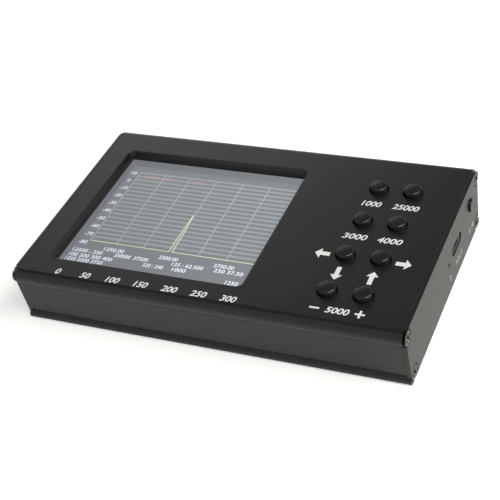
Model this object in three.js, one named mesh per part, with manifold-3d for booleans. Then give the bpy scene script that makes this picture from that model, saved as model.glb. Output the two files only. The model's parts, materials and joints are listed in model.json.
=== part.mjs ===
// Handheld spectrum analyzer: two extruded case halves between two end plates, with the display,
// the push buttons, the boards, the battery and the sockets that they hold.
// Millimetres. X runs along the case, Y towards its back and Z up.
// The origin is the middle of the face that the case rests on.
import * as THREE from 'three';
import { mergeVertices } from 'three/addons/utils/BufferGeometryUtils.js';
import Module from 'manifold-3d';

const wasm = await Module();
wasm.setup();

// Case
const caseLength = 140;
const caseWidth = 86;
const caseHeight = 23;
const plateThickness = 1.5;

// Top cover
const coverThickness = 2.4;
const beadRadius = 2.9;
const skirtDrop = 6.4;
const skirtInset = 1.7;
const wallThickness = 1.5;

// Bottom tray
const floorThickness = 1.6;
const wallLean = 1;
const wallFootHeight = 3.9;
const grooveHeight = 3.3;
const grooveInset = 2.95;
const footInset = 1.9;
const footRadius = 1.4;
const footCurl = Math.PI / 3;
const trayBossInset = 7.6;
const trayBossHeight = 5.5;
const trayBossChamfer = 0.9;
const ribDepth = 2.4;
const ribThickness = 1.2;

// Display window in the cover
const windowLeftMargin = 9.8;
const windowRightMargin = 57.9;
const windowFrontMargin = 10.6;
const windowBackMargin = 12.7;
const windowCornerRadius = 2.2;

// End screws
const screwRadius = 1.25;
const screwLength = 9.5;
const screwHeadRadius = 2.65;
const screwHeadHeight = 1.45;
const screwHeadCrown = 0.15;
const screwTipChamfer = 0.4;
const screwClearance = 0.15;
const screwSeatGap = 0.15;
const lowerScrewInset = 5.6;
const lowerScrewHeight = 2.9;
const recessWidth = 0.8;
const recessLength = 3.2;
const recessDepth = 0.95;

// Display module
const gasketThickness = 1.3;
const gasketSetback = 0.3;
const displaySideMargin = 2.6;
const displayEndMargin = 1.65;
const displayThickness = 3.3;
const displayCanThickness = 0.4;
const displayCanClearance = 0.15;
const backlightThickness = 1.7;
const displayCornerRadius = 0.8;
const flexWidth = 30;
const flexThickness = 0.25;
const flexReach = 6;
const flexRise = 1.3;
const flexGap = 0.15;

// Push buttons
const keyCapRadius = 2.8;
const keyHoleClearance = 0.4;
const keyProud = 2;
const keyEdgeRadius = 0.8;
const keyCrown = 0.15;
const keyEndMargin = 17.6;
const keyColumnPitch = 12;
const keyRows = 4;
const keyFrontMargin = 14.8;
const keyBackMargin = 18.4;
const keyFlangeRadius = 3.6;
const keyFlangeThickness = 0.4;
const keyRestGap = 0.1;
const keyTravel = 0.35;
const keyStopGap = 0.15;
const keyStemRadius = 1.6;
const keyStemEngagement = 1;
const keyStemClearance = 0.3;
const keySwitchSide = 6;
const keySwitchCornerRadius = 0.5;

// Circuit boards and their spacers
const boardThickness = 1.6;
const boardSlotClearance = 0.3;
const boardEdgeClearance = 0.5;
const frontBoardLeftGap = 1.3;
const frontBoardSideGap = 1.6;
const frontBoardKeyMargin = 2.6;
const mainBoardLeftGap = 1.8;
const spacerLength = 3.5;
const spacerRadius = 1.9;
const spacerSideInset = 3.6;
const spacerEndInset = 2.3;
const spacerDisplayGap = 9.3;
const boardScrewRadius = 0.95;
const boardScrewClearance = 0.2;
const boardScrewLength = 4;
const boardScrewHeadHeight = 1.3;

// Shield cans and the header between the boards
const shieldLength = 30;
const shieldSideInset = 10;
const shieldHeight = 2.8;
const shieldWall = 0.3;
const shieldCornerRadius = 0.8;
const shieldJackGap = 1.8;
const shieldMiddleGap = 12;
const headerLength = 22;
const headerWidth = 3;
const headerSpacerGap = 2;

// Battery
const batteryLength = 70;
const batteryWidth = 50;
const batteryCornerRadius = 3;
const batteryHeadroom = 0.9;
const batteryShiftX = -5;
const batteryShiftY = -2;
const padThickness = 0.8;
const padMargin = 5;
const leadRadius = 0.8;
const leadGap = 0.15;
const leadReach = 9;
const leadDip = 1;
const plugLength = 5;
const plugWidth = 6;
const plugHeight = 2.4;

// USB socket
const usbWidth = 8.94;
const usbHeight = 3.26;
const usbLength = 7.4;
const usbWall = 0.3;
const usbSetback = 0.4;
const usbSlotClearance = 0.3;
const usbSideInset = 29.4;
const usbBlockLength = 1.8;
const usbBlockClearance = 0.1;
const usbTongueWidth = 6.7;
const usbTongueThickness = 0.7;
const usbTongueSetback = 0.7;

// Charge lamp
const lampUsbPitch = 9.6;
const lampDepth = 1.2;
const lampWidth = 1.6;
const lampHeight = 0.8;
const lampHoleRadius = 0.8;

// Power button
const powerSideInset = 11.4;
const powerAxisHeight = 4.05;
const powerCapRadius = 2.25;
const powerHoleClearance = 0.3;
const powerProud = 0.8;
const powerEdgeRadius = 0.4;
const powerTravel = 1.2;
const powerStopGap = 0.3;
const powerFlangeRadius = 3;
const powerFlangeThickness = 0.7;
const powerFlangeGap = 0.3;
const powerStemRadius = 1.2;
const powerStemClearance = 0.3;
const powerStemEngagement = 3.8;
const powerSwitchLength = 6.8;
const powerSwitchWidth = 7;
const powerSwitchHeight = 7.8;

// Coaxial jacks
const jackSideInset = 23;
const jackReach = 7.2;
const jackRadius = 3.15;
const jackBoreRadius = 2.3;
const jackMouthChamfer = 0.3;
const jackHoleClearance = 0.25;
const jackFlangeSide = 5.6;
const jackFlangeThickness = 1.6;
const jackLegReach = 4.1;
const jackLegSide = 1.2;
const corePinRadius = 0.45;
const corePinLength = 2.4;
const coreRecess = 1.9;
const coreClearance = 0.15;
const coreSocketRadius = 0.4;
const coreSocketDepth = 2.5;
const nutAcrossFlats = 8;
const nutThickness = 2;
const nutClearance = 0.15;

// How finely round shapes are cut, and how far a cutter runs past what it cuts
const roundSides = 20;
const smallRoundSides = 12;
const nutSides = 6;
const leadSides = 8;
const quarterTurn = Math.PI / 2;
const halfTurn = Math.PI;
const arcSteps = 6;
const cornerSteps = 4;
const capEdgeSteps = 3;
const cutOverrun = 1;
const sameSpot = 1e-4;

// Places that follow from the sizes
const halfLength = caseLength / 2;
const halfWidth = caseWidth / 2;
const bodyLength = caseLength - 2 * plateThickness;
const innerEnd = halfLength - plateThickness;
const beadY = halfWidth - beadRadius;
const beadZ = caseHeight - beadRadius;
const skirtY = halfWidth - skirtInset;
const seamZ = caseHeight - skirtDrop;
const wallFootY = skirtY - wallLean;
const lowerScrewY = halfWidth - lowerScrewInset;
const coverUnderside = caseHeight - coverThickness;
const displayTop = coverUnderside - gasketThickness;
const frontBoardTop = displayTop - displayThickness;
const frontBoardBottom = frontBoardTop - boardThickness;
const mainBoardTop = frontBoardBottom - spacerLength;
const mainBoardBottom = mainBoardTop - boardThickness;
const windowLeft = windowLeftMargin - halfLength;
const windowRight = halfLength - windowRightMargin;
const windowFront = windowFrontMargin - halfWidth;
const windowBack = halfWidth - windowBackMargin;
const windowX = (windowLeft + windowRight) / 2;
const windowY = (windowFront + windowBack) / 2;
const windowLength = windowRight - windowLeft;
const windowWidth = windowBack - windowFront;
const displayLength = windowLength + 2 * displaySideMargin;
const displayWidth = windowWidth + 2 * displayEndMargin;
const displayRight = windowX + displayLength / 2;
const keyColumnX = [halfLength - keyEndMargin - keyColumnPitch, halfLength - keyEndMargin];
const keyRowPitch = (caseWidth - keyFrontMargin - keyBackMargin) / (keyRows - 1);
const jackY = halfWidth - jackSideInset;
const jackZ = mainBoardTop + corePinRadius;
const powerY = halfWidth - powerSideInset;
const powerZ = mainBoardTop + powerAxisHeight;
const usbY = halfWidth - usbSideInset;
const usbZ = mainBoardTop + usbHeight / 2;
const lampY = usbY - lampUsbPitch;
const lampZ = mainBoardTop + lampHeight / 2;

// Materials
function finish(color, roughness, metalness) {
  return new THREE.MeshStandardMaterial({ color, roughness, metalness });
}
const blackCoating = finish(0x1b1b1c, 0.45, 0.3);
const blackPlastic = finish(0x111112, 0.35, 0);
const zincSteel = finish(0xb5b6b8, 0.3, 0.9);
const tinnedSteel = finish(0xc8c9cc, 0.35, 0.9);
const goldPlate = finish(0xd6b15a, 0.3, 0.9);
const blackFoam = finish(0x101010, 0.95, 0);
const displayGlassFinish = finish(0x6e7478, 0.1, 0);
const lightGuide = finish(0xf0f2f2, 0.6, 0);
const polyimide = finish(0xc07a28, 0.5, 0);
const greenBoard = finish(0x1f5a38, 0.5, 0);
const blackSteel = finish(0x202021, 0.4, 0.8);
const batteryFoil = finish(0xbfc3c6, 0.4, 0.5);
const whiteResin = finish(0xf2f2ee, 0.6, 0);
const redCable = finish(0xb3231f, 0.5, 0);

const unit = {
  x: new THREE.Vector3(1, 0, 0),
  y: new THREE.Vector3(0, 1, 0),
  z: new THREE.Vector3(0, 0, 1),
};
const sectionToX = new THREE.Matrix4().makeBasis(unit.y, unit.z, unit.x);

// Points of an arc about (y, z), from one angle to another in radians
function arc(y, z, radius, from, to, steps = arcSteps) {
  const points = [];
  for (let step = 0; step <= steps; step += 1) {
    const angle = from + ((to - from) * step) / steps;
    points.push(new THREE.Vector2(y + radius * Math.cos(angle), z + radius * Math.sin(angle)));
  }
  return points;
}

function flipped(points) {
  return points.map((point) => new THREE.Vector2(-point.x, point.y));
}

// Drops each point that lies on the one after it
function withoutRepeats(points) {
  const follows = (at) => points[(at + 1) % points.length];
  return points.filter((point, at) => point.distanceTo(follows(at)) > sameSpot);
}

function roundedRectangle(width, height, radius) {
  const points = [];
  const corners = [[1, 1, 0], [-1, 1, 1], [-1, -1, 2], [1, -1, 3]];
  for (const [sideX, sideY, turn] of corners) {
    const x = sideX * (width / 2 - radius);
    const y = sideY * (height / 2 - radius);
    const from = turn * quarterTurn;
    points.push(...arc(x, y, radius, from, from + quarterTurn, cornerSteps));
  }
  return new THREE.Shape(withoutRepeats(points));
}

function circle(radius, sides = roundSides) {
  return new THREE.Shape(arc(0, 0, radius, 0, 2 * halfTurn, sides).slice(1));
}

function ring(outer, inner) {
  outer.holes.push(new THREE.Path(inner.getPoints().reverse()));
  return outer;
}

// Prisms: up from z = 0, and along X about x = 0 for a section drawn in Y and Z
function prismUp(shape, height) {
  return new THREE.ExtrudeGeometry(shape, { depth: height, bevelEnabled: false });
}

function prismAlongX(shape, length) {
  const geometry = new THREE.ExtrudeGeometry(shape, { depth: length, bevelEnabled: false });
  return geometry.translate(0, 0, -length / 2).applyMatrix4(sectionToX);
}

function box(length, width, height) {
  return new THREE.BoxGeometry(length, width, height).translate(0, 0, height / 2);
}

function cylinderUp(radius, height, sides = roundSides) {
  return new THREE.CylinderGeometry(radius, radius, height, sides)
    .rotateX(quarterTurn)
    .translate(0, 0, height / 2);
}

// Turned shapes: the profile's points are (radius, distance along the axis)
function turnedUp(points, sides = roundSides) {
  const profile = points.map(([radius, height]) => new THREE.Vector2(radius, height));
  return new THREE.LatheGeometry(profile, sides).rotateX(quarterTurn);
}

function turnedAlongX(points, sides = roundSides) {
  const profile = points.map(([radius, reach]) => new THREE.Vector2(radius, reach));
  return new THREE.LatheGeometry(profile, sides).rotateZ(-quarterTurn);
}

// Cutting and joining
function solid(geometry) {
  const bare = geometry.clone();
  bare.deleteAttribute('normal');
  bare.deleteAttribute('uv');
  const merged = mergeVertices(bare);
  const corners = merged.index.array;
  const kept = [];
  for (let at = 0; at < corners.length; at += 3) {
    const [a, b, c] = [corners[at], corners[at + 1], corners[at + 2]];
    if (a !== b && b !== c && c !== a) {
      kept.push(a, b, c);
    }
  }
  return new wasm.Manifold(new wasm.Mesh({
    numProp: 3,
    vertProperties: new Float32Array(merged.attributes.position.array),
    triVerts: new Uint32Array(kept),
  }));
}

function geometryOf(manifold) {
  const mesh = manifold.getMesh();
  const geometry = new THREE.BufferGeometry();
  geometry.setAttribute('position', new THREE.BufferAttribute(mesh.vertProperties, 3));
  geometry.setIndex(new THREE.BufferAttribute(mesh.triVerts, 1));
  geometry.computeVertexNormals();
  return geometry;
}

function cut(geometry, cutters) {
  const rest = cutters.reduce((left, cutter) => left.subtract(solid(cutter)), solid(geometry));
  return geometryOf(rest);
}

function join(geometries) {
  const [first, ...others] = geometries.map(solid);
  return geometryOf(others.reduce((whole, other) => whole.add(other), first));
}

const analyzer = new THREE.Group();

function place(name, geometry, material, x = 0, y = 0, z = 0) {
  const mesh = new THREE.Mesh(geometry, material);
  mesh.name = name;
  mesh.position.set(x, y, z);
  analyzer.add(mesh);
  return mesh;
}

// Right half of the tray's outline in Y and Z, from its foot round to the seam with the cover
function footOutline() {
  const footY = halfWidth - footInset - footRadius;
  return arc(footY, footRadius, footRadius, -quarterTurn, footCurl);
}

function wallOutline() {
  return [new THREE.Vector2(wallFootY, wallFootHeight), new THREE.Vector2(skirtY, seamZ)];
}

function wallInnerY(z) {
  const share = (z - wallFootHeight) / (seamZ - wallFootHeight);
  return wallFootY + share * wallLean - wallThickness;
}

// The bead's arc, from the skirt that hangs from it round to the flat top
function beadOutline() {
  const start = -Math.acos((skirtY - beadY) / beadRadius);
  return arc(beadY, beadZ, beadRadius, start, quarterTurn, 2 * arcSteps);
}

function screwChannel(y, z) {
  const radius = screwRadius + screwClearance;
  const length = bodyLength + 2 * cutOverrun;
  return new THREE.CylinderGeometry(radius, radius, length, smallRoundSides)
    .rotateZ(quarterTurn)
    .translate(0, y, z);
}

// Places of the push buttons, row by row from the back
function keyPlaces() {
  const places = [];
  for (let row = 0; row < keyRows; row += 1) {
    for (const x of keyColumnX) {
      places.push([x, halfWidth - keyBackMargin - row * keyRowPitch]);
    }
  }
  return places;
}

function topCover() {
  const skirtInnerY = skirtY - wallThickness;
  const bossStart = -Math.acos((skirtInnerY - beadY) / beadRadius);
  const bossEnd = -halfTurn - Math.asin((coverUnderside - beadZ) / beadRadius);
  const boss = arc(beadY, beadZ, beadRadius, bossStart, bossEnd, 2 * arcSteps);
  const outer = [
    new THREE.Vector2(skirtInnerY, seamZ),
    new THREE.Vector2(skirtY, seamZ),
    ...beadOutline(),
  ];
  const section = new THREE.Shape([
    ...outer,
    ...flipped(outer).reverse(),
    ...flipped(boss),
    ...[...boss].reverse(),
  ]);
  const windowShape = roundedRectangle(windowLength, windowWidth, windowCornerRadius);
  const cutDepth = coverThickness + 2 * cutOverrun;
  const cutFoot = coverUnderside - cutOverrun;
  const cutters = [
    prismUp(windowShape, cutDepth).translate(windowX, windowY, cutFoot),
    screwChannel(beadY, beadZ),
    screwChannel(-beadY, beadZ),
  ];
  for (const [x, y] of keyPlaces()) {
    cutters.push(cylinderUp(keyCapRadius + keyHoleClearance, cutDepth).translate(x, y, cutFoot));
  }
  return cut(prismAlongX(section, bodyLength), cutters);
}

function bottomTray() {
  const slotTop = mainBoardTop + boardSlotClearance;
  const upperRibTop = slotTop + ribThickness;
  const lowerRibFoot = mainBoardBottom - ribThickness;
  const ribY = wallInnerY(mainBoardBottom) - ribDepth;
  const bossY = halfWidth - trayBossInset;
  const outer = [
    new THREE.Vector2(0, 0),
    ...footOutline(),
    new THREE.Vector2(halfWidth - grooveInset, grooveHeight),
    ...wallOutline(),
  ];
  const inner = [
    new THREE.Vector2(wallInnerY(seamZ), seamZ),
    new THREE.Vector2(wallInnerY(upperRibTop), upperRibTop),
    new THREE.Vector2(ribY, upperRibTop),
    new THREE.Vector2(ribY, slotTop),
    new THREE.Vector2(wallInnerY(slotTop), slotTop),
    new THREE.Vector2(wallInnerY(mainBoardBottom), mainBoardBottom),
    new THREE.Vector2(ribY, mainBoardBottom),
    new THREE.Vector2(ribY, lowerRibFoot),
    new THREE.Vector2(wallInnerY(lowerRibFoot), lowerRibFoot),
    new THREE.Vector2(wallInnerY(trayBossHeight), trayBossHeight),
    new THREE.Vector2(bossY + trayBossChamfer, trayBossHeight),
    new THREE.Vector2(bossY, trayBossHeight - trayBossChamfer),
    new THREE.Vector2(bossY, floorThickness),
  ];
  const section = new THREE.Shape([
    ...outer,
    ...inner,
    ...flipped(inner).reverse(),
    ...flipped(outer.slice(1)).reverse(),
  ]);
  const cutters = [
    screwChannel(lowerScrewY, lowerScrewHeight),
    screwChannel(-lowerScrewY, lowerScrewHeight),
  ];
  return cut(prismAlongX(section, bodyLength), cutters);
}

// Where each end's four screws sit, by name
const screwPlaces = [
  ['front_top', -beadY, beadZ],
  ['front_bottom', -lowerScrewY, lowerScrewHeight],
  ['back_top', beadY, beadZ],
  ['back_bottom', lowerScrewY, lowerScrewHeight],
];

// Countersink for a screw head, with its outer face at x = 0 and the screw running towards -X
function countersink() {
  const shank = screwRadius + screwClearance;
  const head = screwHeadRadius + screwSeatGap;
  const slope = (screwHeadRadius - screwRadius) / screwHeadHeight;
  return turnedAlongX([
    [0, -plateThickness - cutOverrun],
    [shank, -plateThickness - cutOverrun],
    [shank, -(head - shank) / slope],
    [head, 0],
    [head, cutOverrun],
    [0, cutOverrun],
  ]);
}

// An end plate, with its outer face at x = 0 and its inner face towards -X
function endPlate(cutters) {
  const right = [...footOutline(), ...wallOutline(), ...beadOutline()];
  const outline = new THREE.Shape([...right, ...flipped(right).reverse()]);
  const plate = prismAlongX(outline, plateThickness).translate(-plateThickness / 2, 0, 0);
  const sinks = screwPlaces.map(([, y, z]) => countersink().translate(0, y, z));
  return cut(plate, [...sinks, ...cutters]);
}

function holeThroughPlate(shape, y, z) {
  return prismAlongX(shape, plateThickness + 2 * cutOverrun).translate(-plateThickness / 2, y, z);
}

function roundHole(radius, y, z) {
  return holeThroughPlate(circle(radius), y, z);
}

// Countersunk cross-head screw, with its flat face at x = 0 and its tip towards -X
function endScrew() {
  const shankEnd = -screwLength + screwTipChamfer;
  const turned = turnedAlongX([
    [0, -screwLength],
    [screwRadius - screwTipChamfer, -screwLength],
    [screwRadius, shankEnd],
    [screwRadius, -screwHeadHeight],
    [screwHeadRadius, 0],
    [screwHeadRadius / 2, screwHeadCrown],
    [0, screwHeadCrown],
  ]);
  const slot = box(2 * recessDepth, recessWidth, recessLength).translate(0, 0, -recessLength / 2);
  return cut(turned, [slot, slot.clone().rotateX(quarterTurn)]);
}

// Display module and its gasket
function displayGasket() {
  const outer = roundedRectangle(displayLength, displayWidth, displayCornerRadius);
  const inner = roundedRectangle(
    windowLength + 2 * gasketSetback,
    windowWidth + 2 * gasketSetback,
    windowCornerRadius,
  );
  return prismUp(ring(outer, inner), gasketThickness);
}

function displayLayer(inset, thickness) {
  return prismUp(
    roundedRectangle(displayLength - 2 * inset, displayWidth - 2 * inset, displayCornerRadius),
    thickness,
  );
}

function displayFrame() {
  const can = displayLayer(0, displayThickness);
  const inside = displayLayer(displayCanThickness, displayThickness);
  return cut(can, [inside.translate(0, 0, displayCanThickness)]);
}

// Flat cable that bends from the display's end down to the front board
function displayFlex() {
  const rise = flexRise;
  const outerPath = [
    new THREE.Vector2(0, rise),
    ...arc(rise, rise, rise, halfTurn, halfTurn + quarterTurn),
    new THREE.Vector2(flexReach, 0),
  ];
  const innerPath = [
    new THREE.Vector2(flexReach, flexThickness),
    ...arc(rise, rise, rise - flexThickness, halfTurn + quarterTurn, halfTurn),
  ];
  const side = new THREE.Shape([...outerPath.slice(1), ...innerPath]);
  return prismUp(side, flexWidth).rotateX(quarterTurn).translate(0, flexWidth / 2, 0);
}

// Push buttons: the cap's heights are counted from the cover's top face
const flangeTop = -coverThickness - keyRestGap;
const flangeFoot = flangeTop - keyFlangeThickness;
const switchTop = flangeFoot - keyTravel - keyStopGap;
const switchHeight = caseHeight + switchTop - frontBoardTop;

function keyCap() {
  const edgeCentre = [keyCapRadius - keyEdgeRadius, keyProud - keyEdgeRadius - keyCrown];
  const edge = arc(...edgeCentre, keyEdgeRadius, 0, quarterTurn, capEdgeSteps);
  return turnedUp([
    [0, switchTop - keyStemEngagement],
    [keyStemRadius, switchTop - keyStemEngagement],
    [keyStemRadius, flangeFoot],
    [keyFlangeRadius, flangeFoot],
    [keyFlangeRadius, flangeTop],
    [keyCapRadius, flangeTop],
    ...edge.map((point) => [point.x, point.y]),
    [0, keyProud],
  ]);
}

function keySwitch() {
  const outline = roundedRectangle(keySwitchSide, keySwitchSide, keySwitchCornerRadius);
  const shell = prismUp(outline, switchHeight);
  const boreDepth = keyStemEngagement + keyTravel + keyStopGap;
  const bore = cylinderUp(keyStemRadius + keyStemClearance, boreDepth + cutOverrun);
  return cut(shell, [bore.translate(0, 0, switchHeight - boreDepth)]);
}

// Boards
const frontBoardLeft = -innerEnd + frontBoardLeftGap;
const frontBoardRight = keyColumnX[1] + keySwitchSide / 2 + frontBoardKeyMargin;
const frontBoardHalfWidth = skirtY - wallThickness - frontBoardSideGap;
const mainBoardLeft = -innerEnd + mainBoardLeftGap;
const mainBoardRight = innerEnd - boardEdgeClearance;
const mainBoardHalfWidth = wallInnerY(mainBoardBottom) - boardEdgeClearance;
const spacerY = frontBoardHalfWidth - spacerSideInset;
const spacerX = [frontBoardLeft + spacerEndInset, displayRight + spacerDisplayGap];
const spacerPlaces = [
  [spacerX[0], -spacerY],
  [spacerX[1], -spacerY],
  [spacerX[0], spacerY],
  [spacerX[1], spacerY],
];

function frontBoard() {
  const length = frontBoardRight - frontBoardLeft;
  const middle = frontBoardLeft + length / 2;
  const board = box(length, 2 * frontBoardHalfWidth, boardThickness).translate(middle, 0, 0);
  const radius = boardScrewRadius + boardScrewClearance;
  const holes = spacerPlaces.map(([x, y]) => (
    cylinderUp(radius, boardThickness + 2 * cutOverrun, smallRoundSides).translate(x, y, -cutOverrun)
  ));
  return cut(board, holes);
}

function mainBoard() {
  const length = mainBoardRight - mainBoardLeft;
  const middle = mainBoardLeft + length / 2;
  return box(length, 2 * mainBoardHalfWidth, boardThickness).translate(middle, 0, 0);
}

function spacer() {
  const bore = circle(boardScrewRadius + boardScrewClearance, smallRoundSides);
  return prismUp(ring(circle(spacerRadius, smallRoundSides), bore), spacerLength);
}

// Pan-head screw standing on z = 0 with its shank below
function boardScrew() {
  return turnedUp([
    [0, -boardScrewLength],
    [boardScrewRadius, -boardScrewLength],
    [boardScrewRadius, 0],
    [spacerRadius, 0],
    [spacerRadius, boardScrewHeadHeight / 2],
    [boardScrewRadius, boardScrewHeadHeight],
    [0, boardScrewHeadHeight],
  ], smallRoundSides);
}

const shieldWidth = halfWidth - shieldSideInset - shieldMiddleGap / 2;

function shieldCan() {
  const can = prismUp(roundedRectangle(shieldLength, shieldWidth, shieldCornerRadius), shieldHeight);
  const inside = prismUp(
    roundedRectangle(shieldLength - 2 * shieldWall, shieldWidth - 2 * shieldWall, shieldCornerRadius),
    shieldHeight,
  );
  return cut(can, [inside.translate(0, 0, -shieldWall)]);
}

// Battery under the main board
const batteryFoot = floorThickness + padThickness;
const batteryThickness = mainBoardBottom - batteryHeadroom - batteryFoot;

function batteryPack() {
  return prismUp(roundedRectangle(batteryLength, batteryWidth, batteryCornerRadius), batteryThickness);
}

// Lead from the battery's end, with its plug against the underside of the main board
function batteryLead() {
  const middle = batteryThickness / 2;
  const plugFoot = mainBoardBottom - batteryFoot - plugHeight;
  const route = new THREE.CatmullRomCurve3([
    new THREE.Vector3(leadGap, 0, middle),
    new THREE.Vector3(leadReach / 4, 0, middle - leadDip / 2),
    new THREE.Vector3(leadReach / 2, 0, middle - leadDip),
    new THREE.Vector3(leadReach, 0, plugFoot),
    new THREE.Vector3(leadReach, 0, plugFoot + plugHeight / 2),
  ]);
  const cable = new THREE.ExtrudeGeometry(circle(leadRadius, leadSides), {
    steps: 2 * arcSteps,
    extrudePath: route,
    bevelEnabled: false,
  });
  const plug = box(plugLength, plugWidth, plugHeight).translate(leadReach, 0, plugFoot);
  return join([cable, plug]);
}

// USB socket, with its mouth at x = 0 and its bottom at z = 0
function usbShell() {
  const outline = roundedRectangle(usbWidth, usbHeight, usbHeight / 2);
  const hollowHeight = usbHeight - 2 * usbWall;
  const hollow = roundedRectangle(usbWidth - 2 * usbWall, hollowHeight, hollowHeight / 2);
  return prismAlongX(ring(outline, hollow), usbLength).translate(-usbLength / 2, 0, usbHeight / 2);
}

function usbTongue() {
  const blockHeight = usbHeight - 2 * usbWall - 2 * usbBlockClearance;
  const blockWidth = usbWidth - 2 * usbWall - 2 * usbBlockClearance;
  const blockShape = roundedRectangle(blockWidth, blockHeight, blockHeight / 2);
  const blockX = usbBlockLength / 2 - usbLength;
  const block = prismAlongX(blockShape, usbBlockLength).translate(blockX, 0, usbHeight / 2);
  const tongueLength = usbLength - usbTongueSetback;
  const tongue = new THREE.BoxGeometry(tongueLength, usbTongueWidth, usbTongueThickness)
    .translate(tongueLength / 2 - usbLength, 0, usbHeight / 2);
  return join([block, tongue]);
}

// Power button: the cap's reach is counted from the end plate's outer face
const powerFlangeFront = -plateThickness - powerFlangeGap;
const powerFlangeBack = powerFlangeFront - powerFlangeThickness;
const powerSwitchFront = powerFlangeBack - powerTravel - powerStopGap;

function powerButton() {
  const stemTip = powerSwitchFront - powerStemEngagement;
  return turnedAlongX([
    [0, stemTip],
    [powerStemRadius, stemTip],
    [powerStemRadius, powerFlangeBack],
    [powerFlangeRadius, powerFlangeBack],
    [powerFlangeRadius, powerFlangeFront],
    [powerCapRadius, powerFlangeFront],
    [powerCapRadius, powerProud - powerEdgeRadius],
    [powerCapRadius - powerEdgeRadius, powerProud],
    [0, powerProud],
  ]);
}

// Switch body with its front face at x = 0, standing on z = 0
function powerSwitch() {
  const shell = box(powerSwitchLength, powerSwitchWidth, powerSwitchHeight)
    .translate(-powerSwitchLength / 2, 0, 0);
  const depth = powerStemEngagement + powerTravel + powerStopGap;
  const bore = prismAlongX(circle(powerStemRadius + powerStemClearance), depth + cutOverrun);
  return cut(shell, [bore.translate((cutOverrun - depth) / 2, 0, powerAxisHeight)]);
}

// Coaxial jack, with the end plate's outer face at x = 0 and its mouth towards +X
const jackRoot = -plateThickness - jackFlangeThickness;

function coaxialJack() {
  const shoulder = jackFlangeSide / 2 - jackMouthChamfer;
  const barrel = turnedAlongX([
    [0, jackRoot],
    [shoulder, jackRoot],
    [shoulder, -plateThickness],
    [jackRadius, -plateThickness],
    [jackRadius, jackReach],
    [0, jackReach],
  ]);
  const flangeShape = roundedRectangle(jackFlangeSide, jackFlangeSide, jackMouthChamfer);
  const flange = prismAlongX(flangeShape, jackFlangeThickness)
    .translate(jackRoot + jackFlangeThickness / 2, 0, 0);
  const legs = [];
  const legLength = jackLegReach + jackFlangeThickness;
  const legX = jackRoot + jackFlangeThickness - legLength / 2;
  const legY = (jackFlangeSide - jackLegSide) / 2;
  const upperLegZ = jackLegSide / 2 - corePinRadius;
  const lowerLegZ = -corePinRadius - boardThickness - jackLegSide / 2;
  for (const y of [-legY, legY]) {
    for (const z of [upperLegZ, lowerLegZ]) {
      legs.push(new THREE.BoxGeometry(legLength, jackLegSide, jackLegSide).translate(legX, y, z));
    }
  }
  const bore = turnedAlongX([
    [0, jackRoot - cutOverrun],
    [jackBoreRadius, jackRoot - cutOverrun],
    [jackBoreRadius, jackReach - jackMouthChamfer],
    [jackBoreRadius + jackMouthChamfer, jackReach],
    [jackBoreRadius + jackMouthChamfer, jackReach + cutOverrun],
    [0, jackReach + cutOverrun],
  ]);
  return cut(join([barrel, flange, ...legs]), [bore]);
}

// Insulator with the contact's socket in its face and the contact's pin over the board
function jackCore() {
  const face = jackReach - coreRecess;
  return turnedAlongX([
    [0, jackRoot - corePinLength],
    [corePinRadius, jackRoot - corePinLength],
    [corePinRadius, jackRoot],
    [jackBoreRadius - coreClearance, jackRoot],
    [jackBoreRadius - coreClearance, face],
    [coreSocketRadius, face],
    [coreSocketRadius, face - coreSocketDepth],
    [0, face - coreSocketDepth],
  ]);
}

function jackNut() {
  const corner = nutAcrossFlats / 2 / Math.cos(halfTurn / nutSides);
  const hex = circle(corner, nutSides);
  return prismAlongX(ring(hex, circle(jackRadius + nutClearance)), nutThickness)
    .translate(nutThickness / 2, 0, 0);
}

// Case
place('top_cover', topCover(), blackCoating);
place('bottom_tray', bottomTray(), blackCoating);

const jackPlaces = [['rf_output', -jackY], ['rf_input', jackY]];
const jackHoles = jackPlaces.map(([, y]) => roundHole(jackRadius + jackHoleClearance, y, jackZ));
const leftEnd = place('left_end_plate', endPlate(jackHoles), blackCoating, -halfLength);
leftEnd.rotation.z = halfTurn;

const usbSlotHeight = usbHeight + 2 * usbSlotClearance;
const usbSlot = roundedRectangle(usbWidth + 2 * usbSlotClearance, usbSlotHeight, usbSlotHeight / 2);
place('right_end_plate', endPlate([
  holeThroughPlate(usbSlot, usbY, usbZ),
  roundHole(lampHoleRadius, lampY, lampZ),
  roundHole(powerCapRadius + powerHoleClearance, powerY, powerZ),
]), blackCoating, halfLength);

for (const [where, y, z] of screwPlaces) {
  place(`end_screw_right_${where}`, endScrew(), blackSteel, halfLength, y, z);
  const left = place(`end_screw_left_${where}`, endScrew(), blackSteel, -halfLength, y, z);
  left.rotation.z = halfTurn;
}

// Display module
place('display_gasket', displayGasket(), blackFoam, windowX, windowY, displayTop);
place('display_frame', displayFrame(), tinnedSteel, windowX, windowY, frontBoardTop);
const lightGuideInset = displayCanThickness + displayCanClearance;
const glassFoot = frontBoardTop + displayCanThickness + backlightThickness;
place(
  'display_backlight',
  displayLayer(lightGuideInset, backlightThickness),
  lightGuide,
  windowX,
  windowY,
  frontBoardTop + displayCanThickness,
);
place(
  'display_glass',
  displayLayer(lightGuideInset, displayTop - glassFoot),
  displayGlassFinish,
  windowX,
  windowY,
  glassFoot,
);
place('display_flex', displayFlex(), polyimide, displayRight + flexGap, windowY, frontBoardTop);

// Push buttons
keyPlaces().forEach(([x, y], at) => {
  place(`key_cap_${at + 1}`, keyCap(), blackPlastic, x, y, caseHeight);
  place(`key_switch_${at + 1}`, keySwitch(), blackPlastic, x, y, frontBoardTop);
});

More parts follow.
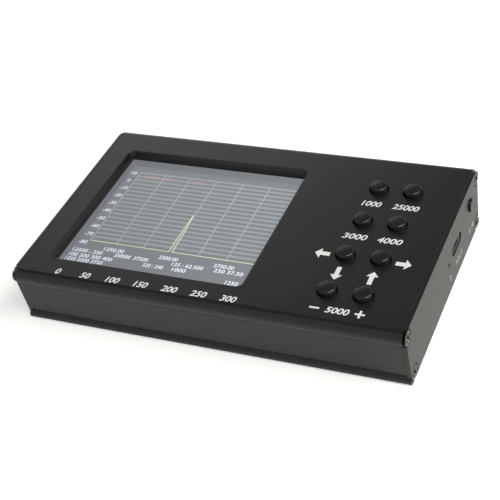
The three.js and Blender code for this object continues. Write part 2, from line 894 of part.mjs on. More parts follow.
// Boards and what joins them
place('front_board', frontBoard(), greenBoard, 0, 0, frontBoardBottom);
place('main_board', mainBoard(), greenBoard, 0, 0, mainBoardBottom);
spacerPlaces.forEach(([x, y], at) => {
  place(`spacer_${at + 1}`, spacer(), zincSteel, x, y, mainBoardTop);
  place(`spacer_screw_${at + 1}`, boardScrew(), zincSteel, x, y, frontBoardTop);
});
const header = box(headerLength, headerWidth, spacerLength);
const headerX = spacerX[1] + spacerRadius + headerSpacerGap + headerLength / 2;
place('board_header', header, blackPlastic, headerX, -spacerY, mainBoardTop);
const jackEnd = jackFlangeThickness + jackLegReach - innerEnd;
const shieldX = jackEnd + shieldJackGap + shieldLength / 2;
const shieldY = (shieldWidth + shieldMiddleGap) / 2;
place('generator_shield', shieldCan(), tinnedSteel, shieldX, -shieldY, mainBoardTop);
place('input_shield', shieldCan(), tinnedSteel, shieldX, shieldY, mainBoardTop);

// Battery
const padShape = roundedRectangle(
  batteryLength - 2 * padMargin,
  batteryWidth - 2 * padMargin,
  batteryCornerRadius,
);
const pad = prismUp(padShape, padThickness);
const batteryEndX = batteryShiftX + batteryLength / 2;
place('battery_pad', pad, blackFoam, batteryShiftX, batteryShiftY, floorThickness);
place('battery_pack', batteryPack(), batteryFoil, batteryShiftX, batteryShiftY, batteryFoot);
place('battery_lead', batteryLead(), redCable, batteryEndX, batteryShiftY, batteryFoot);

// Sockets, lamp and power button on the right end
const usbMouthX = halfLength - usbSetback;
place('usb_shell', usbShell(), tinnedSteel, usbMouthX, usbY, mainBoardTop);
place('usb_tongue', usbTongue(), blackPlastic, usbMouthX, usbY, mainBoardTop);
const lamp = box(lampDepth, lampWidth, lampHeight);
const switchX = halfLength + powerSwitchFront;
place('charge_lamp', lamp, whiteResin, mainBoardRight - lampDepth / 2, lampY, mainBoardTop);
place('power_switch', powerSwitch(), blackPlastic, switchX, powerY, mainBoardTop);
place('power_button', powerButton(), blackPlastic, halfLength, powerY, powerZ);

// Coaxial jacks on the left end
for (const [name, y] of jackPlaces) {
  const pieces = [
    place(`${name}_jack`, coaxialJack(), goldPlate, -halfLength, y, jackZ),
    place(`${name}_core`, jackCore(), whiteResin, -halfLength, y, jackZ),
    place(`${name}_nut`, jackNut(), zincSteel, -halfLength, y, jackZ),
  ];
  pieces.forEach((piece) => {
    piece.rotation.z = halfTurn;
  });
}

export default analyzer;
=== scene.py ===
# Handheld spectrum analyzer: a coated aluminium case with a lit display, round push buttons,
# two coaxial jacks and a charging socket, in a plain pale studio.
# Metres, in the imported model's frame: X along the case, Y towards its back and Z up.
import json
import math

import bmesh
import bpy
from mathutils import Matrix, Vector


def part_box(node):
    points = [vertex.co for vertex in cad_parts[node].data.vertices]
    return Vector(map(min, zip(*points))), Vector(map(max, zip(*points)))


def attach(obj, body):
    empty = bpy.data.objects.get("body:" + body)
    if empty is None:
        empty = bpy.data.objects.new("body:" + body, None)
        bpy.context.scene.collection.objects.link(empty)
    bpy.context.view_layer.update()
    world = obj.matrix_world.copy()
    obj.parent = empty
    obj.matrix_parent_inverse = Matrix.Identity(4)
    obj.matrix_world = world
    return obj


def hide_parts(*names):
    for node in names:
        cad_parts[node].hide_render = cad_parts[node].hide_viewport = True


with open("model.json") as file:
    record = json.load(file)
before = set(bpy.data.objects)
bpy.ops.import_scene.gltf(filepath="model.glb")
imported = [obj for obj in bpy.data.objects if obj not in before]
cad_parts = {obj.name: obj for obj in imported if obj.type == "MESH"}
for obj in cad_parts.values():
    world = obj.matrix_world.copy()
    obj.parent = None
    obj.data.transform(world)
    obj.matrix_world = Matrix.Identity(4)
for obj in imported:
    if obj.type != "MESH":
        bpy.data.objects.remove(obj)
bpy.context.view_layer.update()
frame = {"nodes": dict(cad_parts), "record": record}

MM = 0.001
TURN = 2 * math.pi
QUARTER = TURN / 4
SHARP_ANGLE = math.radians(32)


def mm(*lengths):
    return tuple(length * MM for length in lengths)


# Case
BEAD_RADIUS = 2.9 * MM
COVER_THICKNESS = 2.4 * MM
SKIRT_INSET = 1.45 * MM
WALL_THICKNESS = 1.5 * MM
WALL_LEAN = 1.0 * MM
WALL_FOOT_HEIGHT = 4.3 * MM
FLOOR_THICKNESS = 1.6 * MM
GROOVE_HEIGHT = 3.3 * MM
GROOVE_INSET = 3.3 * MM
FOOT_INSET = 1.9 * MM
FOOT_RADIUS = 1.4 * MM
FOOT_CURL = TURN / 6
TRAY_BOSS_INSET = 7.6 * MM
TRAY_BOSS_HEIGHT = 5.5 * MM
TRAY_BOSS_CHAMFER = 0.9 * MM
RIB_DEPTH = 2.4 * MM
RIB_THICKNESS = 1.2 * MM
BOARD_SLOT_GAP = 0.3 * MM
END_CHAMFER = 0.03 * MM
PLATE_EDGE = 0.15 * MM

# Window and key holes in the cover
WINDOW_LEFT_MARGIN = 9.8 * MM
WINDOW_RIGHT_MARGIN = 57.9 * MM
WINDOW_FRONT_MARGIN = 10.6 * MM
WINDOW_BACK_MARGIN = 12.7 * MM
WINDOW_CORNER = 2.2 * MM
WINDOW_RIM = 0.15 * MM
WINDOW_SLOPE = 0.55 * MM
WINDOW_SLOPE_HEIGHT = 1.3 * MM
WINDOW_FOOT_REACH = 0.35 * MM
KEY_HOLE_RADIUS = 3.4 * MM
KEY_HOLE_RIM = 0.12 * MM

# Key caps
CAP_COUNT = 8
CAP_RADIUS = 3.05 * MM
CAP_EDGE = 0.8 * MM
CAP_EDGE_STEPS = 10
CAP_CROWN = 0.1 * MM
CAP_FLANGE_GAP = 0.1 * MM
CAP_FLANGE_THICKNESS = 0.4 * MM
CAP_STEM_RADIUS = 1.6 * MM

# End screws
SCREW_RADIUS = 1.25 * MM
SCREW_HEAD_RADIUS = 2.6 * MM
SCREW_HEAD_HEIGHT = 1.45 * MM
SCREW_HEAD_EDGE = 0.06 * MM
SCREW_CROWN = 0.15 * MM
SCREW_TIP = 0.4 * MM
SCREW_GAP = 0.25 * MM
SCREW_SEAT_GAP = 0.4 * MM
SCREW_SEAT_DEPTH = 1.45 * MM
SCREW_SEAT_WALL = 0.9 * MM
SCREW_TURN_SHARES = [0.05, 0.31, 0.62, 0.17]
RECESS_WIDTH = 1.05 * MM
RECESS_LENGTH = 3.3 * MM
RECESS_DEPTH = 1.2 * MM
RECESS_FOOT_SHARE = 0.5
LOWER_SCREW_INSET = 5.6 * MM
LOWER_SCREW_HEIGHT = 2.9 * MM

# Power button
POWER_RADIUS = 2.25 * MM
POWER_HOLE_RADIUS = 2.55 * MM
POWER_EDGE = 0.4 * MM
POWER_EDGE_STEPS = 6
POWER_DISH_RADIUS = 1.5 * MM
POWER_DISH_DEPTH = 0.12 * MM
POWER_FLANGE_GAP = 0.3 * MM
POWER_FLANGE_THICKNESS = 0.7 * MM
POWER_FLANGE_RADIUS = 3.0 * MM
POWER_STEM_RADIUS = 1.2 * MM

# Charging socket and its lamp
USB_WALL = 0.3 * MM
USB_LIP = 0.1 * MM
USB_SLOT_GAP = 0.3 * MM
USB_SLOT_END_GAP = 0.9 * MM
USB_BLOCK_LENGTH = 1.8 * MM
USB_BLOCK_GAP = 0.1 * MM
TONGUE_WIDTH = 6.7 * MM
TONGUE_THICKNESS = 0.7 * MM
TONGUE_EDGE = 0.2 * MM
CONTACT_COUNT = 12
CONTACT_PITCH = 0.5 * MM
CONTACT_WIDTH = 0.26 * MM
CONTACT_LENGTH = 3.4 * MM
CONTACT_SETBACK = 0.6 * MM
CONTACT_PROUD = 0.03 * MM
CONTACT_EDGE = 0.01 * MM
LAMP_HOLE_RADIUS = 0.8 * MM
LAMP_EDGE = 0.2 * MM
HOLE_RIM = 0.1 * MM

# Coaxial jacks
JACK_RADIUS = 3.15 * MM
JACK_BORE_RADIUS = 2.3 * MM
JACK_CHAMFER = 0.3 * MM
JACK_HOLE_RADIUS = 3.4 * MM
JACK_FLANGE_SIDE = 5.6 * MM
JACK_FLANGE_THICKNESS = 1.6 * MM
JACK_SHOULDER_RADIUS = 2.5 * MM
JACK_LEG_SIDE = 1.2 * MM
JACK_LEG_EDGE = 0.15 * MM
THREAD_PITCH = 0.706 * MM
THREAD_DEPTH = 0.3 * MM
THREAD_STEPS = 8
THREAD_CREST_SHARE = 0.15
NUT_ACROSS_FLATS = 8.0 * MM
NUT_HOLE_RADIUS = 3.3 * MM
NUT_FACE_SHARE = 0.96
NUT_CHAMFER_ANGLE = TURN / 12
NUT_SIDES = 6
CORE_GAP = 0.15 * MM
CORE_PIN_RADIUS = 0.45 * MM
CORE_PIN_LENGTH = 2.4 * MM
COLLET_RADIUS = 0.63 * MM
COLLET_BORE_RADIUS = 0.4 * MM
COLLET_DEPTH = 2.5 * MM
COLLET_PROUD = 0.4 * MM
COLLET_EDGE = 0.06 * MM
COLLET_SLIT_WIDTH = 0.14 * MM
COLLET_SLIT_LENGTH = 3 * COLLET_RADIUS
COLLET_SLIT_DEPTH = 1.2 * MM

# Display and its gasket
DISPLAY_EDGE = 0.2 * MM
GASKET_EDGE = 0.15 * MM
GASKET_REACH = 0.7 * MM
GASKET_CORNER = 0.4 * MM

# Picture on the display: a grid, a trace with one peak, and numbers, each group of them given by its
# text, its middle X and its width in millimetres
FILM = 0.02 * MM
FILM_SINK = FILM / 4
COLUMN_FILM = 1.2 * FILM
TOP_FILM = 1.4 * FILM
GRID_LEFT = -53.0 * MM
GRID_PITCH = 10.6 * MM
GRID_COLUMNS = 6
GRID_BASE = -17.5 * MM
GRID_TOP = 22.5 * MM
GRID_ROWS = 18
COLUMN_LINE = 0.36 * MM
ROW_BAND = 1.0 * MM
TRACE_LINE = 0.3 * MM
PEAK = [mm(-21.95, -17.5), mm(-21.85, -7.5), mm(-21.6, 2.6), mm(-20.75, -7.5), mm(-20.45, -17.5)]
DIGIT_HEIGHT = 1.75 * MM
SCALE_X = -55.3 * MM
SCALE_TOP = 21.8 * MM
SCALE_PITCH = 4.5 * MM
SCALE_NUMBERS = [str(level) for level in range(10, -90, -10)]
WIDTHS_BY_LENGTH = {1: 1.2 * MM, 2: 2.2 * MM, 3: 3.3 * MM}
NUMBER_ROWS = mm(-20.8, -23.1, -25.6, -27.9)
ROW_NUMBERS = [
    [("1250.00", -41.6, 7.9), ("2500.00", -20.3, 7.2), ("3750.00", 0.6, 7.4)],
    [("12500 : 250", -51.0, 11.9), ("250000", -37.1, 6.3), ("37500", -29.9, 5.6),
     ("125 : 62.500", -12.0, 11.7), ("250 37.50", 3.2, 10.7)],
    [("100 200 300 400", -48.5, 17.2), ("320 : 240", -24.0, 7.8), ("1000", -14.1, 5.1)],
    [("1250 2500 3750", -50.0, 14.8), ("1250", 6.4, 4.6)],
]
RED_NUMBERS = [("12500", -47.2, 5.9), ("250", -40.2, 3.2), ("375", -28.1, 3.6)]
RED_ROW = 20.4 * MM

# Print on the cover and on the right end plate, with its numbers' places and widths in millimetres:
# width under a key, width and X between the signs, or Y, Z and width on the plate
PRINT_FILM = 0.015 * MM
PRINT_SINK = PRINT_FILM / 4
SIDE_ARROW = mm(5.2, 2.1, 4.7, 1.8)
UPRIGHT_ARROW = mm(6.1, 2.3, 4.0, 1.55)
ARROW_SIDE_REACH = 7.75 * MM
ARROW_SIDE_DROP = 0.75 * MM
ARROW_RISE = 8.5 * MM
ARROW_SHIFT = 0.2 * MM
SIGN_LENGTH = 3.3 * MM
SIGN_WIDTH = 0.75 * MM
SIGN_DROP = 8.1 * MM
MINUS_SHIFT = -1.4 * MM
PLUS_SHIFT = 1.5 * MM
PRINT_HEIGHT = 2.7 * MM
KEY_NUMBERS = [("1000", 6.9), ("25000", 9.2), ("3000", 8.5), ("4000", 8.5)]
KEY_NUMBER_DROP = 8.2 * MM
MIDDLE_NUMBER = ("5000", 7.8, 46.6)
SCALE_PRINT = [str(level) for level in range(0, 350, 50)]
SCALE_PRINT_Y = -38.6 * MM
PLATE_NUMBERS = [("0 / 10", 31.0, 5.6, 5.6), ("5.0 / 2", 15.2, 5.6, 7.2), ("2", 4.6, 5.3, 1.4)]
PLATE_NUMBER_HEIGHT = 2.0 * MM
PRINT_SLANT = 0.2
PRINT_WEIGHT = 0.02
DIGIT_WEIGHT = 0.012
TEXT_HALF_DEPTH = 0.5
TEXT_SAME_SPOT = 1e-4

# How finely shapes are cut
ROUND_SIDES = 64
DOME_SHARES = (1, 0.75, 0.5, 0.25, 0)
CORNER_STEPS = 15
SMALL_CORNER_STEPS = 2
BEAD_STEPS = 32
FOOT_STEPS = 14
RIM_STEPS = 4
CUT_OVERRUN = 1 * MM
SAME_SPOT = 0.0002 * MM

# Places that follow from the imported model
cover_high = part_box("top_cover")[1]
board_low, board_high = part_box("main_board")
HALF_WIDTH = cover_high.y
TOP = cover_high.z
BODY_END = cover_high.x
CASE_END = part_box("right_end_plate")[1].x
PLATE_BACK = BODY_END - CASE_END
JACK_ROOT = PLATE_BACK - JACK_FLANGE_THICKNESS
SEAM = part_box("bottom_tray")[1].z
UNDERSIDE = TOP - COVER_THICKNESS
BEAD_Y = HALF_WIDTH - BEAD_RADIUS
BEAD_Z = TOP - BEAD_RADIUS
SKIRT_Y = HALF_WIDTH - SKIRT_INSET
WALL_FOOT_Y = SKIRT_Y - WALL_LEAN
LOWER_SCREW_Y = HALF_WIDTH - LOWER_SCREW_INSET
WINDOW_LEFT = WINDOW_LEFT_MARGIN - CASE_END
WINDOW_RIGHT = CASE_END - WINDOW_RIGHT_MARGIN
WINDOW_FRONT = WINDOW_FRONT_MARGIN - HALF_WIDTH
WINDOW_BACK = HALF_WIDTH - WINDOW_BACK_MARGIN
WINDOW_LENGTH = WINDOW_RIGHT - WINDOW_LEFT
WINDOW_WIDTH = WINDOW_BACK - WINDOW_FRONT
WINDOW_X = (WINDOW_LEFT + WINDOW_RIGHT) / 2
WINDOW_Y = (WINDOW_FRONT + WINDOW_BACK) / 2
DISPLAY_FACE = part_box("display_glass")[1].z
SCREW_PLACES = {
    "front_top": (-BEAD_Y, BEAD_Z),
    "front_bottom": (-LOWER_SCREW_Y, LOWER_SCREW_HEIGHT),
    "back_top": (BEAD_Y, BEAD_Z),
    "back_bottom": (LOWER_SCREW_Y, LOWER_SCREW_HEIGHT),
}

# Turns from a piece's own Z to the way it faces on the case
TO_RIGHT = Matrix(((0, 0, 1), (1, 0, 0), (0, 1, 0))).to_4x4()
HALF_ROUND = Matrix.Rotation(TURN / 2, 4, "Z")
RIGHT_END = Matrix.Translation((CASE_END, 0, 0)) @ TO_RIGHT
LEFT_END = Matrix.Translation((-CASE_END, 0, 0)) @ HALF_ROUND @ TO_RIGHT

# Bodies and finishes, by node
NODE_SLOTS = {entry["node"]: entry["material_slot"] for entry in frame["record"]["subparts"]}
NODE_BODIES = {
    node: body
    for body, members in frame["record"]["behaviour"]["bodies"].items()
    for node in members
}


def node_middle(node):
    low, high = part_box(node)
    return (low + high) / 2


def new_object(name, data):
    made = bpy.data.objects.new(name, data)
    bpy.context.collection.objects.link(made)
    return made


def standing(place, across, up, toward):
    """The matrix of a thing at that place whose X, Y and Z run along these directions."""
    return Matrix.Translation(place) @ Matrix((across, up, toward)).transposed().to_4x4()


# Camera
CAMERA_AZIMUTH = math.radians(30.360)
CAMERA_ELEVATION = math.radians(39.023)
CAMERA_ROLL = math.radians(-12.043)
CAMERA_SIDE = -1.889 * MM
CAMERA_RISE = 6.974 * MM
CAMERA_DISTANCE = 424.27 * MM
CAMERA_LENS = 86.197
CAMERA_SENSOR = 36
CAMERA_NEAR = 10 * MM
CAMERA_FAR = 50


def make_camera():
    back = Vector((
        math.sin(CAMERA_AZIMUTH) * math.cos(CAMERA_ELEVATION),
        -math.cos(CAMERA_AZIMUTH) * math.cos(CAMERA_ELEVATION),
        math.sin(CAMERA_ELEVATION),
    ))
    level = Vector((math.cos(CAMERA_AZIMUTH), math.sin(CAMERA_AZIMUTH), 0))
    rise = back.cross(level)
    right = level * math.cos(CAMERA_ROLL) + rise * math.sin(CAMERA_ROLL)
    up = rise * math.cos(CAMERA_ROLL) - level * math.sin(CAMERA_ROLL)
    data = bpy.data.cameras.new("camera")
    data.lens = CAMERA_LENS
    data.sensor_width = CAMERA_SENSOR
    data.clip_start = CAMERA_NEAR
    data.clip_end = CAMERA_FAR
    camera = new_object("camera", data)
    place = right * CAMERA_SIDE + up * CAMERA_RISE + back * CAMERA_DISTANCE
    camera.matrix_world = standing(place, right, up, back)
    bpy.context.scene.camera = camera


# Shader nodes. An input is given as a value, or as the output that it follows. The mix node has more
# sockets of the same names, so those of its colours are known by their places.
NOISE_START, NOISE_END = 0.3, 0.7
FINE_DETAIL = 2
MIX_FIRST_COLOR, MIX_SECOND_COLOR, MIX_COLOR_RESULT = 6, 7, 2
OPAQUE = 1
WHITE = (1, 1, 1, OPAQUE)
MIRRORED_RAYS = ("Is Glossy Ray", "Is Transmission Ray")


def new_material(name):
    material = bpy.data.materials.new(name)
    material.use_nodes = True
    return material, material.node_tree, material.node_tree.nodes["Principled BSDF"]


def feed(tree, node, inputs):
    for socket, item in inputs.items():
        if isinstance(item, bpy.types.NodeSocket):
            tree.links.new(item, node.inputs[socket])
        else:
            node.inputs[socket].default_value = item


def add_node(tree, kind, inputs):
    node = tree.nodes.new(f"ShaderNode{kind}")
    feed(tree, node, inputs)
    return node


def coordinates(tree, kind="Object"):
    return add_node(tree, "TexCoord", {}).outputs[kind]


def along_axis(tree, vector, axis):
    return add_node(tree, "SeparateXYZ", {"Vector": vector}).outputs[axis]


def calculated(tree, operation, *values, kind="Math"):
    node = add_node(tree, kind, dict(enumerate(values)))
    node.operation = operation
    return node.outputs["Value"]


def seen_by(tree, kind):
    """1 for rays of that kind, 0 for all others."""
    return add_node(tree, "LightPath", {}).outputs[kind]


def raised(tree, total, level, kinds):
    """The total, with the level added to it for these kinds of rays."""
    for kind in kinds:
        total = calculated(tree, "MULTIPLY_ADD", seen_by(tree, kind), level, total)
    return total


def noise(tree, scale, detail=3, stretch=(1, 1, 1)):
    """Noise over the object's own coordinates, with that many cells to the metre."""
    mapping = add_node(tree, "Mapping", {"Vector": coordinates(tree), "Scale": stretch})
    inputs = {"Vector": mapping.outputs["Vector"], "Scale": scale, "Detail": detail}
    return add_node(tree, "TexNoise", inputs).outputs["Fac"]


def ranged(tree, value, start, end, low=0, high=1, way="SMOOTHSTEP"):
    """Runs from low to high while the value runs from start to end."""
    node = add_node(tree, "MapRange", {"Value": value, "From Min": start, "From Max": end,
                                       "To Min": low, "To Max": high})
    node.interpolation_type = way
    return node.outputs["Result"]


def spread(tree, value, low, high):
    """Maps the middle of a noise value's range to a range of its own."""
    return ranged(tree, value, NOISE_START, NOISE_END, low, high, "LINEAR")


def blend_colors(tree, value, first, second):
    node = add_node(tree, "Mix", {"Factor": value, MIX_FIRST_COLOR: (*first, OPAQUE),
                                  MIX_SECOND_COLOR: (*second, OPAQUE)})
    node.data_type = "RGBA"
    return node.outputs[MIX_COLOR_RESULT]


def bumped(tree, height, strength, distance):
    inputs = {"Height": height, "Strength": strength, "Distance": distance}
    return add_node(tree, "Bump", inputs).outputs["Normal"]


# Materials
def grained(name, dark, light, roughness, metallic=0.0, cloud=60, grain=2500,
            stretch=(1, 1, 1), bump=0.1, depth=0.02 * MM, ior=1.5):
    """A surface with cloudy colour, uneven roughness and a fine grain."""
    material, tree, shader = new_material(name)
    clouds = spread(tree, noise(tree, cloud), 0, 1)
    fine = noise(tree, grain, FINE_DETAIL, stretch)
    feed(tree, shader, {
        "Base Color": blend_colors(tree, clouds, dark, light),
        "Roughness": spread(tree, fine, *roughness),
        "Metallic": metallic,
        "IOR": ior,
        "Normal": bumped(tree, fine, bump, depth),
    })
    return material


# Circuit board: its pattern and grain to the metre, its greens, and the gaps' share of a field
BOARD_PATTERN = 160
BOARD_GRAIN = 1200
BOARD_COLORS = {"Color1": (0.015, 0.12, 0.045), "Color2": (0.02, 0.15, 0.06), "Mortar": (0.03, 0.2, 0.09)}
BOARD_GAP_SHARE = 0.04
BOARD_ROUGHNESS = (0.3, 0.4)
BOARD_BUMP = 0.3
BOARD_RELIEF = 0.02 * MM


def circuit_board():
    """Green lacquer over a fine pattern of copper fields."""
    material, tree, shader = new_material("circuit_board")
    fields = add_node(tree, "TexBrick", {
        "Vector": coordinates(tree),
        "Scale": BOARD_PATTERN,
        "Mortar Size": BOARD_GAP_SHARE,
        **{socket: (*color, OPAQUE) for socket, color in BOARD_COLORS.items()},
    })
    feed(tree, shader, {
        "Base Color": fields.outputs["Color"],
        "Roughness": spread(tree, noise(tree, BOARD_GRAIN), *BOARD_ROUGHNESS),
        "Normal": bumped(tree, fields.outputs["Fac"], BOARD_BUMP, BOARD_RELIEF),
    })
    return material


# Lit display: its ground reflects a share of its colour, and painted shade keeps only a dim share of its
# light at the window's left, where its colour fades from the colour of that painted shade
DISPLAY_GLOW = 0.2
FIELD_COLOR = (0.92, 0.99, 1.06)
# the bluer colour of the painted shade at the window's left
FIELD_PAINTED_SHADE_COLOR = (1.02, 1.0, 1.17)
FIELD_ROUGHNESS = (0.12, 0.15)
INK_ROUGHNESS = (0.126, 0.154)
FIELD_DIFFUSE_SHARE = 0.06
FIELD_PAINTED_SHADE_SHARE = 0.72
FIELD_PAINTED_SHADE_FADE = 9 * MM
LIT_GRAIN = 900
PALER_SHARE = 1.05


def lit(name, color, strength, roughness=INK_ROUGHNESS, shade_color=None):
    """A surface over a dark ground that shines, with painted shade that dims its light towards the
    window's left. Its colour is cloudy, or runs from the colour of that painted shade at the window's
    left."""
    material, tree, shader = new_material(name)
    fine = noise(tree, LIT_GRAIN, FINE_DETAIL)
    across = along_axis(tree, coordinates(tree), "X")
    if shade_color:
        # painted shade: the colour runs from the painted shade's colour at the window's left to the field
        # colour
        fade = ranged(tree, across, WINDOW_LEFT, WINDOW_LEFT + FIELD_PAINTED_SHADE_FADE)
        glow = blend_colors(tree, fade, shade_color, color)
    else:
        glow = blend_colors(tree, fine, color, [value * PALER_SHARE for value in color])
    ground = [value * FIELD_DIFFUSE_SHARE for value in color]
    # painted shade: the light dims to this share at the window's left and rises to full towards the right
    dim = strength * FIELD_PAINTED_SHADE_SHARE
    feed(tree, shader, {
        "Base Color": (*ground, OPAQUE),
        "Roughness": spread(tree, fine, *roughness),
        "Emission Color": glow,
        "Emission Strength": ranged(tree, across, WINDOW_LEFT, WINDOW_RIGHT, dim, strength, "LINEAR"),
    })
    return material


SLOT_MATERIALS = {
    "display_glass": lit("display_glass", FIELD_COLOR, DISPLAY_GLOW, FIELD_ROUGHNESS, FIELD_PAINTED_SHADE_COLOR),
    "circuit_board": circuit_board(),
}


def finish(slot, *look, **details):
    SLOT_MATERIALS[slot] = grained(slot, *look, **details)


finish("case_coating", (0.0075, 0.0075, 0.0071), (0.0095, 0.0095, 0.009), (0.28, 0.35), grain=3500,
       bump=0.12, depth=0.01 * MM, ior=1.6)
finish("black_screw", (0.085, 0.085, 0.08), (0.13, 0.13, 0.125), (0.22, 0.34), 0.9, cloud=400,
       grain=2000, bump=0.15, depth=0.01 * MM)
finish("key_plastic", (0.016, 0.016, 0.017), (0.02, 0.02, 0.021), (0.12, 0.17), bump=0.02,
       depth=0.01 * MM, ior=1.4)
finish("black_resin", (0.014, 0.014, 0.014), (0.02, 0.02, 0.02), (0.45, 0.6), grain=1500, bump=0.2)
finish("light_guide", (0.8, 0.82, 0.82), (0.86, 0.88, 0.88), (0.5, 0.6), grain=900)
finish("polyimide", (0.42, 0.18, 0.03), (0.5, 0.24, 0.05), (0.3, 0.4), grain=800)
finish("tinned_steel", (0.5, 0.5, 0.51), (0.62, 0.62, 0.63), (0.22, 0.34), 1.0, cloud=200, grain=500,
       stretch=(1, 12, 1))
finish("zinc_steel", (0.48, 0.49, 0.5), (0.6, 0.61, 0.62), (0.22, 0.34), 1.0, cloud=200, grain=600,
       stretch=(12, 1, 1))
finish("gold_plate", (0.72, 0.47, 0.16), (0.82, 0.57, 0.22), (0.16, 0.26), 1.0, cloud=250, grain=700,
       bump=0.05)
finish("white_insulator", (0.74, 0.74, 0.7), (0.8, 0.8, 0.77), (0.4, 0.5), grain=1200)
finish("lamp_resin", (0.6, 0.6, 0.5), (0.7, 0.7, 0.6), (0.1, 0.2), grain=900)
finish("black_foam", (0.011, 0.011, 0.011), (0.017, 0.017, 0.017), (0.85, 0.95), bump=0.8,
       depth=0.08 * MM)
finish("battery_foil", (0.45, 0.46, 0.47), (0.6, 0.61, 0.62), (0.25, 0.4), 0.9, grain=250, bump=0.35,
       depth=0.2 * MM)
finish("red_cable", (0.3, 0.012, 0.01), (0.4, 0.02, 0.015), (0.35, 0.45), grain=900)
WHITE_PRINT = grained("white_print", (0.77, 0.77, 0.73), (0.83, 0.83, 0.8), (0.45, 0.55))
COLUMN_INK = lit("column_ink", (1.0, 1.07, 1.09), 0.4)
ROW_INK = lit("row_ink", (0.97, 1.04, 1.1), 0.3)
TRACE_INK = lit("trace_ink", (1.0, 1.08, 0.72), 0.75)
DIGIT_INK = lit("digit_ink", (0.95, 1.0, 1.12), 0.95)
RED_INK = lit("red_ink", (1.25, 0.72, 0.76), 0.42)


# Outlines: lists of (first, second) coordinates that run anticlockwise
CORNERS = [(1, 1), (-1, 1), (-1, -1), (1, -1)]


def arc(first, second, radius, start, end, steps):
    points = []
    for step in range(steps + 1):
        angle = start + (end - start) * step / steps
        points.append((first + radius * math.cos(angle), second + radius * math.sin(angle)))
    return points


def mirrored(points):
    return [(-first, second) for first, second in reversed(points)]


def circle(radius, sides=ROUND_SIDES):
    return arc(0, 0, radius, 0, TURN, sides)[:-1]


def rounded_rectangle(width, height, radius, steps=CORNER_STEPS):
    points = []
    for turn, (side_x, side_y) in enumerate(CORNERS):
        x = side_x * (width / 2 - radius)
        y = side_y * (height / 2 - radius)
        points += arc(x, y, radius, turn * QUARTER, (turn + 1) * QUARTER, steps)
    return points


def racetrack(width, height):
    return rounded_rectangle(width, height, height / 2)


def cross_outline(width, length):
    half, reach = width / 2, length / 2
    points = []
    for turn in range(len(CORNERS)):
        cosine, sine = round(math.cos(turn * QUARTER)), round(math.sin(turn * QUARTER))
        for x, y in [(half, half), (half, reach), (-half, reach)]:
            points.append((x * cosine - y * sine, x * sine + y * cosine))
    return points


def strip(start, end, width):
    """A straight line of that width between two points."""
    start, end = Vector(start), Vector(end)
    side = (end - start).normalized().orthogonal() * width / 2
    return [tuple(start - side), tuple(end - side), tuple(end + side), tuple(start + side)]


def domed(radius, foot, rise):
    """(Radius, height) points from a dome's rim to its middle, or a dish's where the rise is negative."""
    return [(radius * share, foot + rise * (1 - share * share)) for share in DOME_SHARES]


def inset(points, distance):
    """The outline drawn inwards."""
    shifted = []
    for at, here in enumerate(points):
        before = Vector(points[at - 1])
        after = Vector(points[(at + 1) % len(points)])
        along = (after - before).normalized()
        shifted.append((here[0] - along.y * distance, here[1] + along.x * distance))
    return shifted


# Solids
def along_x(outline, x):
    """An outline of (Y, Z) points at X."""
    return [Vector((x, y, z)) for y, z in outline]


def at_height(outline, z):
    return [Vector((x, y, z)) for x, y in outline]


def stacked(*layers):
    """Rings of (outline, height) layers."""
    return [at_height(outline, height) for outline, height in layers]


def ring_rows(rings):
    mesh = bmesh.new()
    return mesh, [[mesh.verts.new(point) for point in ring] for ring in rings]


def skin(mesh, rows):
    for low, high in zip(rows, rows[1:]):
        for at in range(len(low)):
            after = (at + 1) % len(low)
            mesh.faces.new((low[at], low[after], high[after], high[at]))


def tidied(mesh):
    bmesh.ops.remove_doubles(mesh, verts=mesh.verts, dist=SAME_SPOT)
    bmesh.ops.recalc_face_normals(mesh, faces=mesh.faces)
    return mesh


def loft(rings):
    """A solid through rings of as many points each, capped at both ends."""
    mesh, rows = ring_rows(rings)
    skin(mesh, rows)
    mesh.faces.new(list(reversed(rows[0])))
    mesh.faces.new(rows[-1])
    return tidied(mesh)


def tube(rings):
    """A solid through rings that ends where it starts."""
    mesh, rows = ring_rows(rings)
    skin(mesh, [*rows, rows[0]])
    return tidied(mesh)


def turned_rings(profile):
    """Rings about Z through (radius, height) points."""
    return [at_height(circle(radius), height) for radius, height in profile]


def turned(profile):
    return loft(turned_rings(profile))


def rim_angles():
    return [QUARTER * step / RIM_STEPS for step in range(RIM_STEPS + 1)]


def rounded_rim(outline, top, edge, direction=1):
    """Rings up a rounded rim to the height top, or down one with the direction -1."""
    rings = []
    for angle in rim_angles():
        narrowed = inset(outline, edge * (1 - math.cos(angle)))
        rings.append(at_height(narrowed, top - direction * edge * (1 - math.sin(angle))))
    return rings


def rounded_slab(outline, bottom, top, edge):
    """A flat solid between two heights, with its top rim rounded."""
    return loft([at_height(outline, bottom), *rounded_rim(outline, top, edge)])


def rounded_plate(outline, bottom, top, edge):
    """A flat solid between two heights, with both rims rounded."""
    return loft([*rounded_rim(outline, bottom, edge, -1)[::-1], *rounded_rim(outline, top, edge)])


def film(outline, bottom, thickness):
    return loft(stacked((outline, bottom), (outline, bottom + thickness)))


def placed(mesh, matrix):
    bmesh.ops.transform(mesh, matrix=matrix, verts=mesh.verts)
    return mesh


def moved(mesh, x, y, z=0):
    return placed(mesh, Matrix.Translation((x, y, z)))


def on_right_end(mesh, y, z, out=0):
    return placed(moved(mesh, y, z, out), RIGHT_END)


def joined(meshes):
    """One mesh that holds all of these."""
    whole = bmesh.new()
    for mesh in meshes:
        data = bpy.data.meshes.new("part")
        mesh.to_mesh(data)
        mesh.free()
        whole.from_mesh(data)
        bpy.data.meshes.remove(data)
    return whole


def shade(data):
    data.shade_smooth()
    data.set_sharp_from_angle(angle=SHARP_ANGLE)


